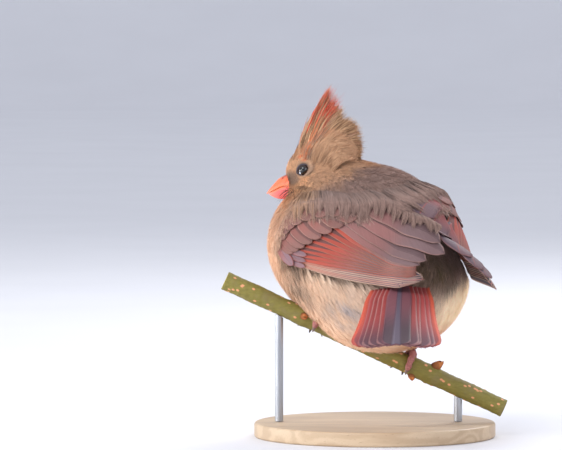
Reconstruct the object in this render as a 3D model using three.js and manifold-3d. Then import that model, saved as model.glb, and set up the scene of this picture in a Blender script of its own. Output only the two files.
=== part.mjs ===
// A female northern cardinal, fluffed up on a sloping cut branch, with a plain display stand.
// Millimetres, +Z up. +Y points away from the viewer of the main view and +X to their right.
// The origin is the centre of the underside of the stand's base.
import * as THREE from 'three';
import { mergeVertices } from 'three/addons/utils/BufferGeometryUtils.js';
import Module from 'manifold-3d';

const wasm = await Module();
wasm.setup();

// Driving dimensions
const GAP = 0.3; // clearance between neighbouring pieces
const HEADING = THREE.MathUtils.degToRad(32); // body turned to the left, away from the viewer
const BODY_CENTRE = new THREE.Vector3(-3, 4, 86);
const HEAD_CENTRE = new THREE.Vector3(-28, 7, 128);
const HEAD_TURN = THREE.MathUtils.degToRad(165.5); // heading of the bill, from +X
const HEAD_PITCH = THREE.MathUtils.degToRad(25); // bill lowered
const EYE_RADIUS = 3.1;
const BILL_LENGTH = 15.5;
const WING_LENGTH = 90;
const WING_DEPTH = 34;
const TAIL_LENGTH = 99;
const TAIL_SPREAD = 44; // across the tips
const PERCH_RADIUS = 4.4;
const PERCH_HEIGHT = 42; // height of the branch's axis at x = 0
const PERCH_SLOPE = -0.46; // rise per millimetre of x
const PERCH_FROM = -72;
const PERCH_TO = 62;
const BASE_RADIUS = 58;
const BASE_HEIGHT = 7;
const ROD_RADIUS = 2;
const ROD_PLACES = { stand_rod_left: -46, stand_rod_right: 40 };
const FOOT_PLACES = { left: -29, right: 15.5 };

const UP = new THREE.Vector3(0, 0, 1);
const FORWARD = new THREE.Vector3(-Math.sin(HEADING), Math.cos(HEADING), 0);
const RIGHT = new THREE.Vector3().crossVectors(FORWARD, UP);

// Finishes
const finish = (color, roughness, metalness = 0) =>
  new THREE.MeshStandardMaterial({ color, roughness, metalness });
const FINISH = {
  mantle: finish('#8c786c', 0.9),
  face: finish('#aa876e', 0.9),
  crest: finish('#a8664e', 0.85),
  bill: finish('#f06450', 0.35),
  eye: finish('#140f0e', 0.05),
  wing: finish('#a05a50', 0.7),
  tail: finish('#a04a48', 0.7),
  foot: finish('#af6e69', 0.55),
  bark: finish('#736e32', 0.8),
  wood: finish('#8a6a48', 0.5),
  rod: finish('#b9b4a8', 0.35, 1),
};

const vec = (x, y, z) => new THREE.Vector3(x, y, z);
const { lerp, clamp, smoothstep } = THREE.MathUtils;

// Joining and cutting

function solid(geometry) {
  const bare = geometry.index ? geometry.toNonIndexed() : geometry.clone();
  for (const name of Object.keys(bare.attributes)) {
    if (name !== 'position') bare.deleteAttribute(name);
  }
  const merged = mergeVertices(bare, 1e-4);
  const mesh = new wasm.Mesh({
    numProp: 3,
    vertProperties: new Float32Array(merged.attributes.position.array),
    triVerts: new Uint32Array(merged.index.array),
  });
  return new wasm.Manifold(mesh);
}

function largestBody(shape) {
  return shape.decompose().sort((a, b) => b.volume() - a.volume())[0];
}

function toGeometry(shape) {
  const mesh = largestBody(shape).getMesh();
  const geometry = new THREE.BufferGeometry();
  geometry.setAttribute('position', new THREE.BufferAttribute(mesh.vertProperties, 3));
  geometry.setIndex(new THREE.BufferAttribute(mesh.triVerts, 1));
  return geometry;
}

const joined = (shapes) => shapes.reduce((whole, shape) => whole.add(shape));

// The plumage surface: rounded masses that flow into one another

function mass(centre, radii, axes) {
  return { centre, radii, axes };
}

function massDistance(point, { centre, radii, axes }) {
  const offset = point.clone().sub(centre);
  const local = axes.map((axis, i) => offset.dot(axis) / radii[i]);
  const nearness = Math.hypot(...local);
  const slope = Math.hypot(...local.map((value, i) => value / radii[i]));
  return slope < 1e-9 ? -Math.min(...radii) : (nearness * (nearness - 1)) / slope;
}

function blend(a, b, width) {
  const overlap = Math.max(width - Math.abs(a - b), 0) / width;
  return Math.min(a, b) - (overlap * overlap * width) / 4;
}

const BODY_AXES = [FORWARD, RIGHT, UP];
const HEAD_AHEAD = vec(
  Math.cos(HEAD_TURN) * Math.cos(HEAD_PITCH),
  Math.sin(HEAD_TURN) * Math.cos(HEAD_PITCH),
  -Math.sin(HEAD_PITCH),
);
const HEAD_LEFT = vec(-Math.sin(HEAD_TURN), Math.cos(HEAD_TURN), 0);
const HEAD_UP = new THREE.Vector3().crossVectors(HEAD_AHEAD, HEAD_LEFT);
const HEAD_AXES = [HEAD_AHEAD, HEAD_LEFT, HEAD_UP];

const headPoint = (ahead, left, up) =>
  HEAD_CENTRE.clone()
    .addScaledVector(HEAD_AHEAD, ahead)
    .addScaledVector(HEAD_LEFT, left)
    .addScaledVector(HEAD_UP, up);

const CHEST = mass(vec(-9, 8, 92), [45, 41, 38], BODY_AXES);
const BELLY = mass(vec(4, 1, 76.5), [43, 40, 36], BODY_AXES);
const MANTLE = mass(vec(0, 3, 93), [39, 34.5, 35], BODY_AXES);
const COLLAR = mass(vec(-17.5, 6, 117), [20, 20, 16.8], BODY_AXES);
const SKULL = mass(headPoint(0, 0, 0), [15.5, 12.2, 13], HEAD_AXES);
const OCCIPUT = mass(headPoint(-10.5, 0, 2), [13, 10.8, 10.5], HEAD_AXES);
const CHIN = mass(headPoint(8, 0, -7.5), [8, 8.5, 6], HEAD_AXES);

function plumage(point) {
  const torso = blend(
    blend(massDistance(point, CHEST), massDistance(point, BELLY), 8),
    massDistance(point, MANTLE),
    8,
  );
  const head = blend(
    blend(massDistance(point, SKULL), massDistance(point, OCCIPUT), 6),
    massDistance(point, CHIN),
    5,
  );
  return blend(blend(torso, massDistance(point, COLLAR), 8), head, 5);
}

function outward(point) {
  const step = 0.05;
  const at = (x, y, z) => plumage(point.clone().add(vec(x, y, z)));
  return vec(
    at(step, 0, 0) - at(-step, 0, 0),
    at(0, step, 0) - at(0, -step, 0),
    at(0, 0, step) - at(0, 0, -step),
  ).normalize();
}

// A closed skin round a centre, out to where the distance function is zero
function skinAround(centre, detail, distance, reach = 90) {
  const geometry = new THREE.IcosahedronGeometry(1, detail);
  const place = geometry.attributes.position;
  const direction = new THREE.Vector3();
  for (let i = 0; i < place.count; i += 1) {
    direction.fromBufferAttribute(place, i).normalize();
    let near = 0;
    let far = 1;
    while (far < reach && distance(centre.clone().addScaledVector(direction, far)) < 0) {
      near = far;
      far += 1;
    }
    for (let k = 0; k < 20; k += 1) {
      const middle = (near + far) / 2;
      if (distance(centre.clone().addScaledVector(direction, middle)) < 0) near = middle;
      else far = middle;
    }
    direction.multiplyScalar(near).add(centre);
    place.setXYZ(i, direction.x, direction.y, direction.z);
  }
  return solid(geometry);
}

// A large block on the far side of a plane, for parting cuts
function beyondPlane(point, normal, shift = 0) {
  const size = 240;
  const block = new THREE.BoxGeometry(size, size, size);
  block.translate(0, 0, size / 2 + shift);
  block.applyQuaternion(new THREE.Quaternion().setFromUnitVectors(UP, normal));
  block.translate(point.x, point.y, point.z);
  return solid(block);
}

// A closed shape from corner points and faces, turned right side out
function closed(points, faces) {
  const geometry = new THREE.BufferGeometry();
  const corners = points.flatMap((point) => point.toArray());
  geometry.setAttribute('position', new THREE.Float32BufferAttribute(corners, 3));
  geometry.setIndex(faces);
  const shape = solid(geometry);
  return shape.volume() > 0 ? shape : solid(flipped(geometry));
}

function flipped(geometry) {
  const copy = geometry.clone();
  const index = copy.index.array;
  for (let i = 0; i < index.length; i += 3) [index[i], index[i + 1]] = [index[i + 1], index[i]];
  return copy;
}

// Sheets: a grid of points given an even thickness, split alike on both faces
function sheet(rows, columns, top, bottom) {
  const points = [];
  for (const side of [top, bottom]) {
    for (let i = 0; i <= rows; i += 1) {
      for (let j = 0; j <= columns; j += 1) points.push(side(i / rows, j / columns));
    }
  }
  const layer = (rows + 1) * (columns + 1);
  const at = (i, j, side = 0) => side * layer + i * (columns + 1) + j;
  const faces = [];
  const quad = (a, b, c, d) => faces.push(a, b, c, a, c, d);
  for (let i = 0; i < rows; i += 1) {
    for (let j = 0; j < columns; j += 1) {
      faces.push(at(i, j), at(i + 1, j), at(i + 1, j + 1), at(i, j), at(i + 1, j + 1), at(i, j + 1));
      faces.push(at(i, j, 1), at(i + 1, j + 1, 1), at(i + 1, j, 1));
      faces.push(at(i, j, 1), at(i, j + 1, 1), at(i + 1, j + 1, 1));
    }
  }
  for (let i = 0; i < rows; i += 1) {
    quad(at(i, 0), at(i, 0, 1), at(i + 1, 0, 1), at(i + 1, 0));
    quad(at(i + 1, columns), at(i + 1, columns, 1), at(i, columns, 1), at(i, columns));
  }
  for (let j = 0; j < columns; j += 1) {
    quad(at(0, j + 1), at(0, j + 1, 1), at(0, j, 1), at(0, j));
    quad(at(rows, j), at(rows, j, 1), at(rows, j + 1, 1), at(rows, j + 1));
  }
  return closed(points, faces);
}

// Torso, neck and head

const NECK_LINE = { point: vec(-21, 8, 113.5), normal: vec(-0.48, 0.06, 0.875).normalize() };
const HEAD_LINE = { point: vec(-25, 8, 122), normal: vec(-0.48, 0.06, 0.875).normalize() };

function makeTorso() {
  return skinAround(BODY_CENTRE, 8, plumage).subtract(
    beyondPlane(NECK_LINE.point, NECK_LINE.normal, -GAP / 2),
  );
}

function makeNeck() {
  const centre = NECK_LINE.point.clone().lerp(HEAD_LINE.point, 0.5);
  return skinAround(centre, 6, plumage)
    .subtract(beyondPlane(HEAD_LINE.point, HEAD_LINE.normal, -GAP / 2))
    .subtract(beyondPlane(NECK_LINE.point, NECK_LINE.normal.clone().negate(), -GAP / 2));
}

function makeHead() {
  const centre = headPoint(-2, 0, 2);
  return skinAround(centre, 7, plumage).subtract(
    beyondPlane(HEAD_LINE.point, HEAD_LINE.normal.clone().negate(), -GAP / 2),
  );
}

// Bill: two halves of a deep cone that meet along the mouth line

const BILL_TIP = 27.5; // ahead of the head's centre
const BILL_HALF_WIDTH = 5.2;
const CULMEN_HEIGHT = 6.4;
const GONYS_DEPTH = 6.6;
const MOUTH_GAP = 0.15; // half the gap along the mouth line

const billHeight = {
  upper: (back) => CULMEN_HEIGHT * Math.pow(back / BILL_LENGTH, 0.8),
  lower: (back) => -GONYS_DEPTH * (1 - Math.exp(-back / 3.4)),
};

// The mouth line runs straight back from the tip and turns down at the corner
const mouthLine = (back) => -0.4 - 1.6 * smoothstep(back, 8, BILL_LENGTH);

function billHalf(half) {
  const sign = half === 'upper' ? 1 : -1;
  const start = half === 'upper' ? 0 : 0.9;
  const surface = (along, around) => {
    const back = lerp(BILL_LENGTH, start, along);
    const reach = back - start + 0.02;
    const width = BILL_HALF_WIDTH * Math.pow(reach / BILL_LENGTH, 0.62) + 0.1;
    const edge = mouthLine(back) + sign * MOUTH_GAP;
    const peak = mouthLine(back) + billHeight[half](reach) + sign * (MOUTH_GAP + 0.15);
    const angle = around * Math.PI;
    const up = lerp(edge, peak, Math.pow(Math.sin(angle), 0.8));
    return headPoint(BILL_TIP - back, Math.cos(angle) * width, up);
  };
  const floor = (along, around) =>
    surface(along, 0).lerp(surface(along, 1), (1 - Math.cos(around * Math.PI)) / 2);
  return sheet(7, 8, surface, floor);
}

function makeNostril(side) {
  const pit = new THREE.SphereGeometry(0.75, 8, 6);
  const place = headPoint(BILL_TIP - 11, side * 3.6, 3.2);
  pit.translate(place.x, place.y, place.z);
  return solid(pit);
}

// Eyes

const EYE_AHEAD = 3.2;
const EYE_UP = 1.9;
const EYE_OUT = 9.9;

function makeEye(side, extra = 0) {
  const ball = new THREE.SphereGeometry(EYE_RADIUS + extra, 12, 8);
  const place = headPoint(EYE_AHEAD, side * EYE_OUT, EYE_UP);
  ball.translate(place.x, place.y, place.z);
  return solid(ball);
}

// A lid: a fold of skin round the eye
const LID_RADIUS = 2.75;
const LID_THICKNESS = 0.5;

function makeLid(side) {
  const ring = new THREE.TorusGeometry(LID_RADIUS, LID_THICKNESS, 5, 12);
  ring.scale(1.06, 0.96, 1);
  ring.applyQuaternion(new THREE.Quaternion().setFromUnitVectors(UP, HEAD_LEFT));
  const place = headPoint(EYE_AHEAD, side * (EYE_OUT + 1.9), EYE_UP);
  ring.translate(place.x, place.y, place.z);
  return solid(ring);
}

// Wings: a curved patch from nine named places, held clear of the plumage

function patch(places, along, across) {
  const weigh = (t) => [2 * (t - 0.5) * (t - 1), 4 * t * (1 - t), 2 * t * (t - 0.5)];
  const a = weigh(along);
  const b = weigh(across);
  const sum = new THREE.Vector3();
  places.forEach((row, j) => row.forEach((place, i) => sum.addScaledVector(place, a[i] * b[j])));
  return sum;
}

const WING_PLACES = {
  left: [
    [vec(-44, -12, 86), vec(-12, -40, 77.5), vec(22, -54, 75)],
    [vec(-42.5, -15, 96), vec(-7, -41, 92.5), vec(28.5, -51, 83)],
    [vec(-36, -17, 109), vec(1, -36, 108.5), vec(33, -42, 91)],
  ],
  right: [
    [vec(28, 34, 80), vec(46.5, -5, 81), vec(60, -32, 66)],
    [vec(31, 29, 93), vec(37, -18, 95), vec(43, -40, 82)],
    [vec(26, 21, 104), vec(15, -29, 109.5), vec(19, -41.5, 96)],
  ],
};

const WING_CLEARANCE = 0.9; // between the plumage and the underside of a wing

function wingBase(side, along, across) {
  const point = patch(WING_PLACES[side], along, across);
  for (let k = 0; k < 4; k += 1) {
    const distance = plumage(point);
    const hold = distance < WING_CLEARANCE ? 1 : 1 - smoothstep(along, 0.5, 0.85);
    point.addScaledVector(outward(point), (WING_CLEARANCE - distance) * hold);
  }
  return point;
}

// The wing's surface as an even grid of places and normals, read in between
function wingSurface(side) {
  const columns = 24;
  const rows = 12;
  const places = [];
  for (let j = -1; j <= rows + 1; j += 1) {
    const row = [];
    for (let i = -1; i <= columns + 1; i += 1) row.push(wingBase(side, i / columns, j / rows));
    places.push(row);
  }
  return (along, across, height = 0) => {
    const u = clamp(along * columns, -1, columns) + 1;
    const v = clamp(across * rows, -1, rows) + 1;
    const i = Math.floor(u);
    const j = Math.floor(v);
    const [a, b, c, d] = [places[j][i], places[j][i + 1], places[j + 1][i], places[j + 1][i + 1]];
    const low = a.clone().lerp(b, u - i);
    const high = c.clone().lerp(d, u - i);
    const point = low.clone().lerp(high, v - j);
    const normal = b.clone().sub(a).add(d).sub(c).cross(c.clone().sub(a).add(d).sub(b)).normalize();
    if (normal.dot(outward(point)) < 0) normal.negate();
    return point.addScaledVector(normal, height);
  };
}

const WINGS = { left: wingSurface('left'), right: wingSurface('right') };

// Feathers: thin tapered blades, each given by its root, a place it passes and its tip

const VANE_ROOT = 0.6; // thickness
const VANE_TIP = 0.42;
const FLIGHT_STATIONS = [
  [0, 0.5],
  [0.33, 0.92],
  [0.68, 1],
  [0.91, 0.72],
  [1, 0.18],
];
const COVERT_STATIONS = [
  [0, 0.8],
  [0.6, 1],
  [0.88, 0.72],
  [1, 0.2],
];

// Quadratic curve through a start, a place halfway and an end
function through([start, middle, end], t) {
  const weights = [2 * (t - 0.5) * (t - 1), 4 * t * (1 - t), 2 * t * (t - 0.5)];
  return start.map((value, k) => value * weights[0] + middle[k] * weights[1] + end[k] * weights[2]);
}

// A feather laid on a wing: places are fractions of the wing's length and depth, sizes are
// millimetres; low and high are its heights over the wing's surface at root and tip
function wingFeather(surface, feather) {
  const { line, width, low, high, tilt = 0.3, stations = FLIGHT_STATIONS } = feather;
  const rows = stations.length - 1;
  const place = (drop) => (along, across) => {
    const [t, share] = stations[Math.round(along * rows)];
    const here = through(line, t);
    const ahead = through(line, Math.min(t + 0.02, 1));
    const behind = through(line, Math.max(t - 0.02, 0));
    const run = (ahead[0] - behind[0]) * WING_LENGTH;
    const rise = (ahead[1] - behind[1]) * WING_DEPTH;
    const length = Math.hypot(run, rise);
    const aside = (across * 2 - 1) * (width / 2) * share;
    const a = here[0] - (rise / length) * (aside / WING_LENGTH);
    const b = here[1] + (run / length) * (aside / WING_DEPTH);
    const height = lerp(low, high, t) - tilt * (across * 2 - 1) * share;
    return surface(a, b, height - drop);
  };
  const underside = (along, across) => place(lerp(VANE_ROOT, VANE_TIP, along))(along, across);
  return sheet(rows, 1, place(0), underside);
}

// The wing's tiers, from the lowest feather to the highest
function wingFeathers() {
  const feathers = [];
  const PRIMARIES = 6;
  for (let k = 0; k < PRIMARIES; k += 1) {
    const s = k / (PRIMARIES - 1);
    feathers.push({
      line: [
        [0.1, lerp(0.1, 0.16, s)],
        [0.5, lerp(0.07, 0.2, s)],
        [lerp(0.86, 0.95, Math.sin(s * Math.PI * 0.75)), lerp(0.03, 0.23, s)],
      ],
      width: 5,
      low: 0.7 + 0.3 * k,
      high: 0.6 + 0.28 * k,
    });
  }
  const SECONDARIES = 5;
  for (let k = 0; k < SECONDARIES; k += 1) {
    const s = k / (SECONDARIES - 1);
    feathers.push({
      line: [
        [lerp(0.1, 0.28, s), lerp(0.2, 0.74, s)],
        [lerp(0.5, 0.56, s), lerp(0.26, 0.54, s)],
        [lerp(0.9, 0.87, s), lerp(0.26, 0.38, s)],
      ],
      width: 6.5,
      low: 1.9 + 0.22 * k,
      high: 2.2 + 0.25 * k,
    });
  }
  const TERTIALS = [
    { line: [[0.28, 0.8], [0.6, 0.59], [0.885, 0.43]], width: 8 },
    { line: [[0.3, 0.86], [0.64, 0.68], [0.905, 0.54]], width: 9 },
    { line: [[0.34, 0.93], [0.68, 0.85], [0.985, 0.79]], width: 10.5 },
  ];
  TERTIALS.forEach((tertial, k) => {
    feathers.push({ ...tertial, low: 3 + 0.3 * k, high: 3.6 + 0.4 * k, tilt: 0.35 });
  });
  const PRIMARY_COVERTS = 2;
  for (let k = 0; k < PRIMARY_COVERTS; k += 1) {
    const b = lerp(0.09, 0.27, k / (PRIMARY_COVERTS - 1));
    feathers.push({
      line: [[0.02, b + 0.06], [0.1, b + 0.03], [0.2, b]],
      width: 4.2,
      low: 1.6 + 0.25 * k,
      high: 2 + 0.25 * k,
      stations: COVERT_STATIONS,
    });
  }
  const GREATER_COVERTS = 7;
  for (let k = 0; k < GREATER_COVERTS; k += 1) {
    const s = k / (GREATER_COVERTS - 1);
    const root = through([[0, 0.5], [0.06, 0.8], [0.27, 0.95]], s);
    const tip = through([[0.12, 0.29], [0.235, 0.52], [0.4, 0.86]], s);
    const middle = [(root[0] + tip[0]) / 2 - 0.01, (root[1] + tip[1]) / 2 - 0.03];
    feathers.push({
      line: [root, middle, tip],
      width: 5.6,
      low: 2.2 + 0.2 * k,
      high: 2.9 + 0.22 * k,
      stations: COVERT_STATIONS,
    });
  }
  const MEDIAN_COVERTS = 4;
  for (let k = 0; k < MEDIAN_COVERTS; k += 1) {
    const s = k / (MEDIAN_COVERTS - 1);
    const root = through([[0, 0.72], [0.03, 0.94], [0.2, 1]], s);
    const tip = through([[0.055, 0.5], [0.12, 0.74], [0.32, 0.9]], s);
    const middle = [(root[0] + tip[0]) / 2 - 0.01, (root[1] + tip[1]) / 2 - 0.02];
    feathers.push({
      line: [root, middle, tip],
      width: 6,
      low: 3 + 0.2 * k,
      high: 3.6 + 0.2 * k,
      stations: COVERT_STATIONS,
    });
  }
  feathers.push({
    line: [[0.01, 0.4], [0.055, 0.22], [0.13, 0.07]],
    width: 6,
    low: 2.2,
    high: 2.9,
    stations: COVERT_STATIONS,
  });
  return feathers;
}

// The pad that the feathers grow from; its top follows the tiers
function wingPad(surface) {
  const PAD_REACH = 0.5;
  const edge = (t) => Math.sin(Math.PI * clamp(t, 0, 1)) ** 0.5;
  const outline = (along, across) => [
    along * PAD_REACH + 0.02,
    lerp(0.12, lerp(0.85, 0.93, along), across),
  ];
  return sheet(
    6,
    4,
    (along, across) => {
      const [a, b] = outline(along, across);
      return surface(a, b, 0.7 + 2.4 * across * edge(along * 0.9 + 0.1));
    },
    (along, across) => surface(...outline(along, across), 0),
  );
}

function makeWing(side) {
  const surface = WINGS[side];
  return joined([wingPad(surface), ...wingFeathers().map((feather) => wingFeather(surface, feather))]);
}

// The room over the plumage that the longest feathers of the left wing keep clear
function tertialRoom() {
  const [FROM, TO, LOW, HIGH] = [0.6, 1.04, 0.6, 1];
  const place = (height) => (along, across) =>
    WINGS.left(lerp(FROM, TO, along), lerp(LOW, HIGH, across), height);
  return sheet(4, 2, place(9), place(-0.5));
}

// Tail: a fan of long feathers that hangs towards the viewer

const TAIL_ROOT = vec(12, -24, 78);
const TAIL_TIP = vec(7.5, -118, 53.5);
const TAIL_AHEAD = TAIL_TIP.clone().sub(TAIL_ROOT).normalize();
const TAIL_SIDE = new THREE.Vector3().crossVectors(TAIL_AHEAD, UP).normalize();
const TAIL_UP = new THREE.Vector3().crossVectors(TAIL_SIDE, TAIL_AHEAD).normalize();

const tailPoint = (along, side, up) =>
  TAIL_ROOT.clone()
    .addScaledVector(TAIL_AHEAD, along)
    .addScaledVector(TAIL_SIDE, side)
    .addScaledVector(TAIL_UP, up);

const TAIL_SUNK = 9; // the feathers start this far along, inside the plumage
const TAIL_PAIRS = 6;
const TAIL_VANE_WIDTH = 9.5;
const TAIL_STEP = 0.42; // each pair lies this much lower than the one inside it

function tailFeather(side, pair) {
  const outermost = TAIL_PAIRS - 1;
  const spread = TAIL_SPREAD / 2 - TAIL_VANE_WIDTH / 2;
  const tip = side * lerp(2.2, spread, pair / outermost);
  const root = side * lerp(1, 10.5, pair / outermost);
  const stagger = 0.43 * pair + (side > 0 ? 0.21 : 0);
  const length = TAIL_LENGTH - 1.2 * Math.abs(pair - 3.2) - 0.3 * stagger;
  const rows = FLIGHT_STATIONS.length - 1;
  const place = (drop) => (along, across) => {
    const [t, share] = FLIGHT_STATIONS[Math.round(along * rows)];
    const middle = lerp(root, tip, t ** 1.25);
    const aside = (across * 2 - 1) * (TAIL_VANE_WIDTH / 2) * lerp(share, 1, t > 0.7 ? 0.35 : 0);
    const lean = 0.22 * side * (across * 2 - 1);
    const height = 1 - TAIL_STEP * pair - (side > 0 ? 0.12 : 0) + lean;
    const fall = drop + 0.002 * middle * middle;
    return tailPoint(lerp(TAIL_SUNK + stagger, length, t), middle + aside, height - fall);
  };
  return sheet(rows, 1, place(0), place(0.75));
}

function makeTail() {
  const feathers = [];
  for (let pair = 0; pair < TAIL_PAIRS; pair += 1) {
    feathers.push(tailFeather(-1, pair), tailFeather(1, pair));
  }
  const base = new THREE.SphereGeometry(1, 16, 10);
  base.scale(12.5, 7, 2.6);
  const turn = new THREE.Matrix4().makeBasis(TAIL_SIDE, TAIL_AHEAD, TAIL_UP);
  base.applyMatrix4(turn);
  const place = tailPoint(16, 0, -0.8);
  base.translate(place.x, place.y, place.z);
  return joined([solid(base), ...feathers]);
}

// The room that the tail takes in the plumage, with the usual gap
function tailClearance() {
  const place = (height) => (along, across) => {
    const width = lerp(13.4, 17, along);
    return tailPoint(lerp(TAIL_SUNK - 1, 34, along), (across * 2 - 1) * width, height);
  };
  return sheet(1, 1, place(2.2), place(-3.6));
}

// Crest: lance-shaped feathers in three rows, swept back from the crown

// Each entry gives a root and a tip as distances ahead of and above the head's centre
const CREST_FEATHERS = [
  { root: [6.5, 8.5], tip: [-6, 20] },
  { root: [4.5, 9.5], tip: [-14, 27] },
  { root: [2.5, 10], tip: [-20, 31.5] },
  { root: [0.5, 10], tip: [-23.5, 33.5] },
  { root: [-1.5, 10], tip: [-24.5, 24.5] },
  { root: [-4.5, 9.5], tip: [-24.5, 17.5] },
  { root: [-7.5, 9], tip: [-28, 13.5] },
  { root: [-10.5, 7.5], tip: [-28.5, 7.5] },
  { root: [-13, 5], tip: [-26.5, 2.5] },
];
const CREST_WIDTH = 5.2;
const CREST_STATIONS = [
  [0, 0.8],
  [0.4, 1],
  [0.78, 0.62],
  [1, 0.08],
];

function crestFeather({ root, tip }, row) {
  const reach = 1 - 0.1 * Math.abs(row);
  const end = [lerp(root[0], tip[0], reach), lerp(root[1], tip[1], reach)];
  const run = end[0] - root[0];
  const rise = end[1] - root[1];
  const length = Math.hypot(run, rise);
  const rows = CREST_STATIONS.length - 1;
  const place = (face) => (along, across) => {
    const [t, share] = CREST_STATIONS[Math.round(along * rows)];
    const sweep = 1.6 * Math.sin(Math.PI * t);
    const aside = (across * 2 - 1) * (CREST_WIDTH / 2) * share;
    const ahead = root[0] + run * t + (rise / length) * (sweep + aside);
    const up = root[1] + rise * t - (run / length) * (sweep + aside);
    const left = row * lerp(4.2, 0.9, t) + face * lerp(0.55, 0.28, t) + 0.17 * (across * 2 - 1);
    return headPoint(ahead, left, up);
  };
  return sheet(rows, 1, place(1), place(-1));
}

// The side rows stand between the feathers of the middle row
function crestFeathers() {
  const between = (a, b) => a.map((value, k) => (value + b[k]) / 2);
  const middle = CREST_FEATHERS.map((feather) => crestFeather(feather, 0));
  const sides = [-1, 1].flatMap((row) =>
    CREST_FEATHERS.slice(1).map(({ root, tip }, k) =>
      crestFeather(
        { root: between(root, CREST_FEATHERS[k].root), tip: between(tip, CREST_FEATHERS[k].tip) },
        row,
      ),
    ),
  );
  return [...middle, ...sides];
}

function makeCrest() {
  const core = new THREE.SphereGeometry(1, 12, 8);
  core.scale(12.5, 5.4, 5);
  core.applyMatrix4(new THREE.Matrix4().makeBasis(HEAD_AHEAD, HEAD_LEFT, HEAD_UP));
  const place = headPoint(-6, 0, 10.5);
  core.translate(place.x, place.y, place.z);
  return joined([solid(core), ...crestFeathers()]);
}

// Perch: a sloping cut length of green branch

const perchAxis = (x) => vec(x, 0, PERCH_HEIGHT + PERCH_SLOPE * x);
const PERCH_ALONG = perchAxis(1).sub(perchAxis(0)).normalize();
const PERCH_UP = new THREE.Vector3().crossVectors(PERCH_ALONG, vec(0, 1, 0)).normalize();
if (PERCH_UP.z < 0) PERCH_UP.negate();

const TAPER = 1.03; // the branch is this much wider or narrower at its ends

function perchRod(radius, from = PERCH_FROM, to = PERCH_TO, sides = 16) {
  const length = perchAxis(from).distanceTo(perchAxis(to));
  const rod = new THREE.CylinderGeometry(radius / TAPER, radius * TAPER, length, sides, 1);
  rod.applyQuaternion(new THREE.Quaternion().setFromUnitVectors(vec(0, 1, 0), PERCH_ALONG));
  const middle = perchAxis((from + to) / 2);
  rod.translate(middle.x, middle.y, middle.z);
  return solid(rod);
}

// Buds: place along the branch, angle round it, length and thickness
const BUDS = [
  { x: -34.5, angle: 5, length: 2.6, radius: 1.5 },
  { x: 27, angle: 80, length: 4.6, radius: 2 },
  { x: 19, angle: -65, length: 2.8, radius: 1.5 },
];

function makeBud({ x, angle, length, radius }) {
  const turn = THREE.MathUtils.degToRad(angle);
  const bud = new THREE.SphereGeometry(1, 8, 6);
  bud.scale(radius, radius, length);
  const lean = vec(0, 0, 0)
    .addScaledVector(vec(0, -1, 0), Math.cos(turn))
    .addScaledVector(PERCH_UP, Math.sin(turn))
    .addScaledVector(PERCH_ALONG, 0.5)
    .normalize();
  bud.applyQuaternion(new THREE.Quaternion().setFromUnitVectors(UP, lean));
  const place = perchAxis(x).addScaledVector(lean, PERCH_RADIUS);
  bud.translate(place.x, place.y, place.z);
  return solid(bud);
}

const makePerch = () => joined([perchRod(PERCH_RADIUS), ...BUDS.map(makeBud)]);

// Legs and feet

const aroundPerch = (x, angle, radius) =>
  perchAxis(x)
    .addScaledVector(vec(0, -1, 0), Math.cos(angle) * radius)
    .addScaledVector(PERCH_UP, Math.sin(angle) * radius);

function tube(path, radii, sides = 8) {
  const rings = path.length - 1;
  const frames = path.map((point, i) => {
    const ahead = path[Math.min(i + 1, rings)].clone().sub(path[Math.max(i - 1, 0)]).normalize();
    const aside = new THREE.Vector3().crossVectors(ahead, vec(1, 0.02, 0.01)).normalize();
    const above = new THREE.Vector3().crossVectors(ahead, aside);
    return { point, aside, above, radius: radii[i] };
  });
  const points = [path[0].clone()];
  frames.forEach(({ point, aside, above, radius }) => {
    for (let j = 0; j < sides; j += 1) {
      const angle = (j / sides) * 2 * Math.PI;
      points.push(
        point
          .clone()
          .addScaledVector(aside, Math.cos(angle) * radius)
          .addScaledVector(above, Math.sin(angle) * radius),
      );
    }
  });
  points.push(path[rings].clone());
  const at = (i, j) => 1 + i * sides + (j % sides);
  const faces = [];
  for (let j = 0; j < sides; j += 1) {
    faces.push(0, at(0, j + 1), at(0, j));
    faces.push(points.length - 1, at(rings, j), at(rings, j + 1));
    for (let i = 0; i < rings; i += 1) {
      faces.push(at(i, j), at(i, j + 1), at(i + 1, j + 1), at(i, j), at(i + 1, j + 1), at(i + 1, j));
    }
  }
  return closed(points, faces);
}

const TOE_RADIUS = 1.15;
const TOE_PATH_RADIUS = PERCH_RADIUS * TAPER + GAP + TOE_RADIUS + 0.1;
// The side that a toe goes round the branch (1 is the viewer's), how far, and its slant along it
const TOES = [
  { side: 1, sweep: 125, drift: 1 },
  { side: -1, sweep: 150, drift: -5.9 },
  { side: -1, sweep: 165, drift: 0 },
  { side: -1, sweep: 150, drift: 5.9 },
];

function makeToe(x, toe, extra) {
  const steps = 7;
  const path = [];
  const radii = [];
  for (let i = 0; i <= steps; i += 1) {
    const t = i / steps;
    const claw = smoothstep(t, 0.72, 0.8);
    const swept = THREE.MathUtils.degToRad(toe.sweep) * t;
    const angle = Math.PI / 2 - toe.side * swept;
    const thick = lerp(TOE_RADIUS, lerp(0.8, 0.25, (t - 0.72) / 0.28), claw);
    path.push(aroundPerch(x + toe.drift * t, angle, TOE_PATH_RADIUS));
    radii.push(thick + extra);
  }
  return tube(path, radii, 6);
}

const HEEL_RADIUS = 1.7;

function makeFoot(x, extra = 0) {
  const heel = new THREE.SphereGeometry(HEEL_RADIUS + extra, 8, 6);
  const place = aroundPerch(x, Math.PI / 2, PERCH_RADIUS * TAPER + GAP + 1.4);
  heel.translate(place.x, place.y, place.z);
  return joined([solid(heel), ...TOES.map((toe) => makeToe(x, toe, extra))]);
}

// The room that a foot takes under the belly
const footRoom = (x) => perchRod(PERCH_RADIUS * TAPER + 2 * GAP + 1.5 + HEEL_RADIUS, x - 6, x + 6, 12);

const LEG_LENGTH = 11;

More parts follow.
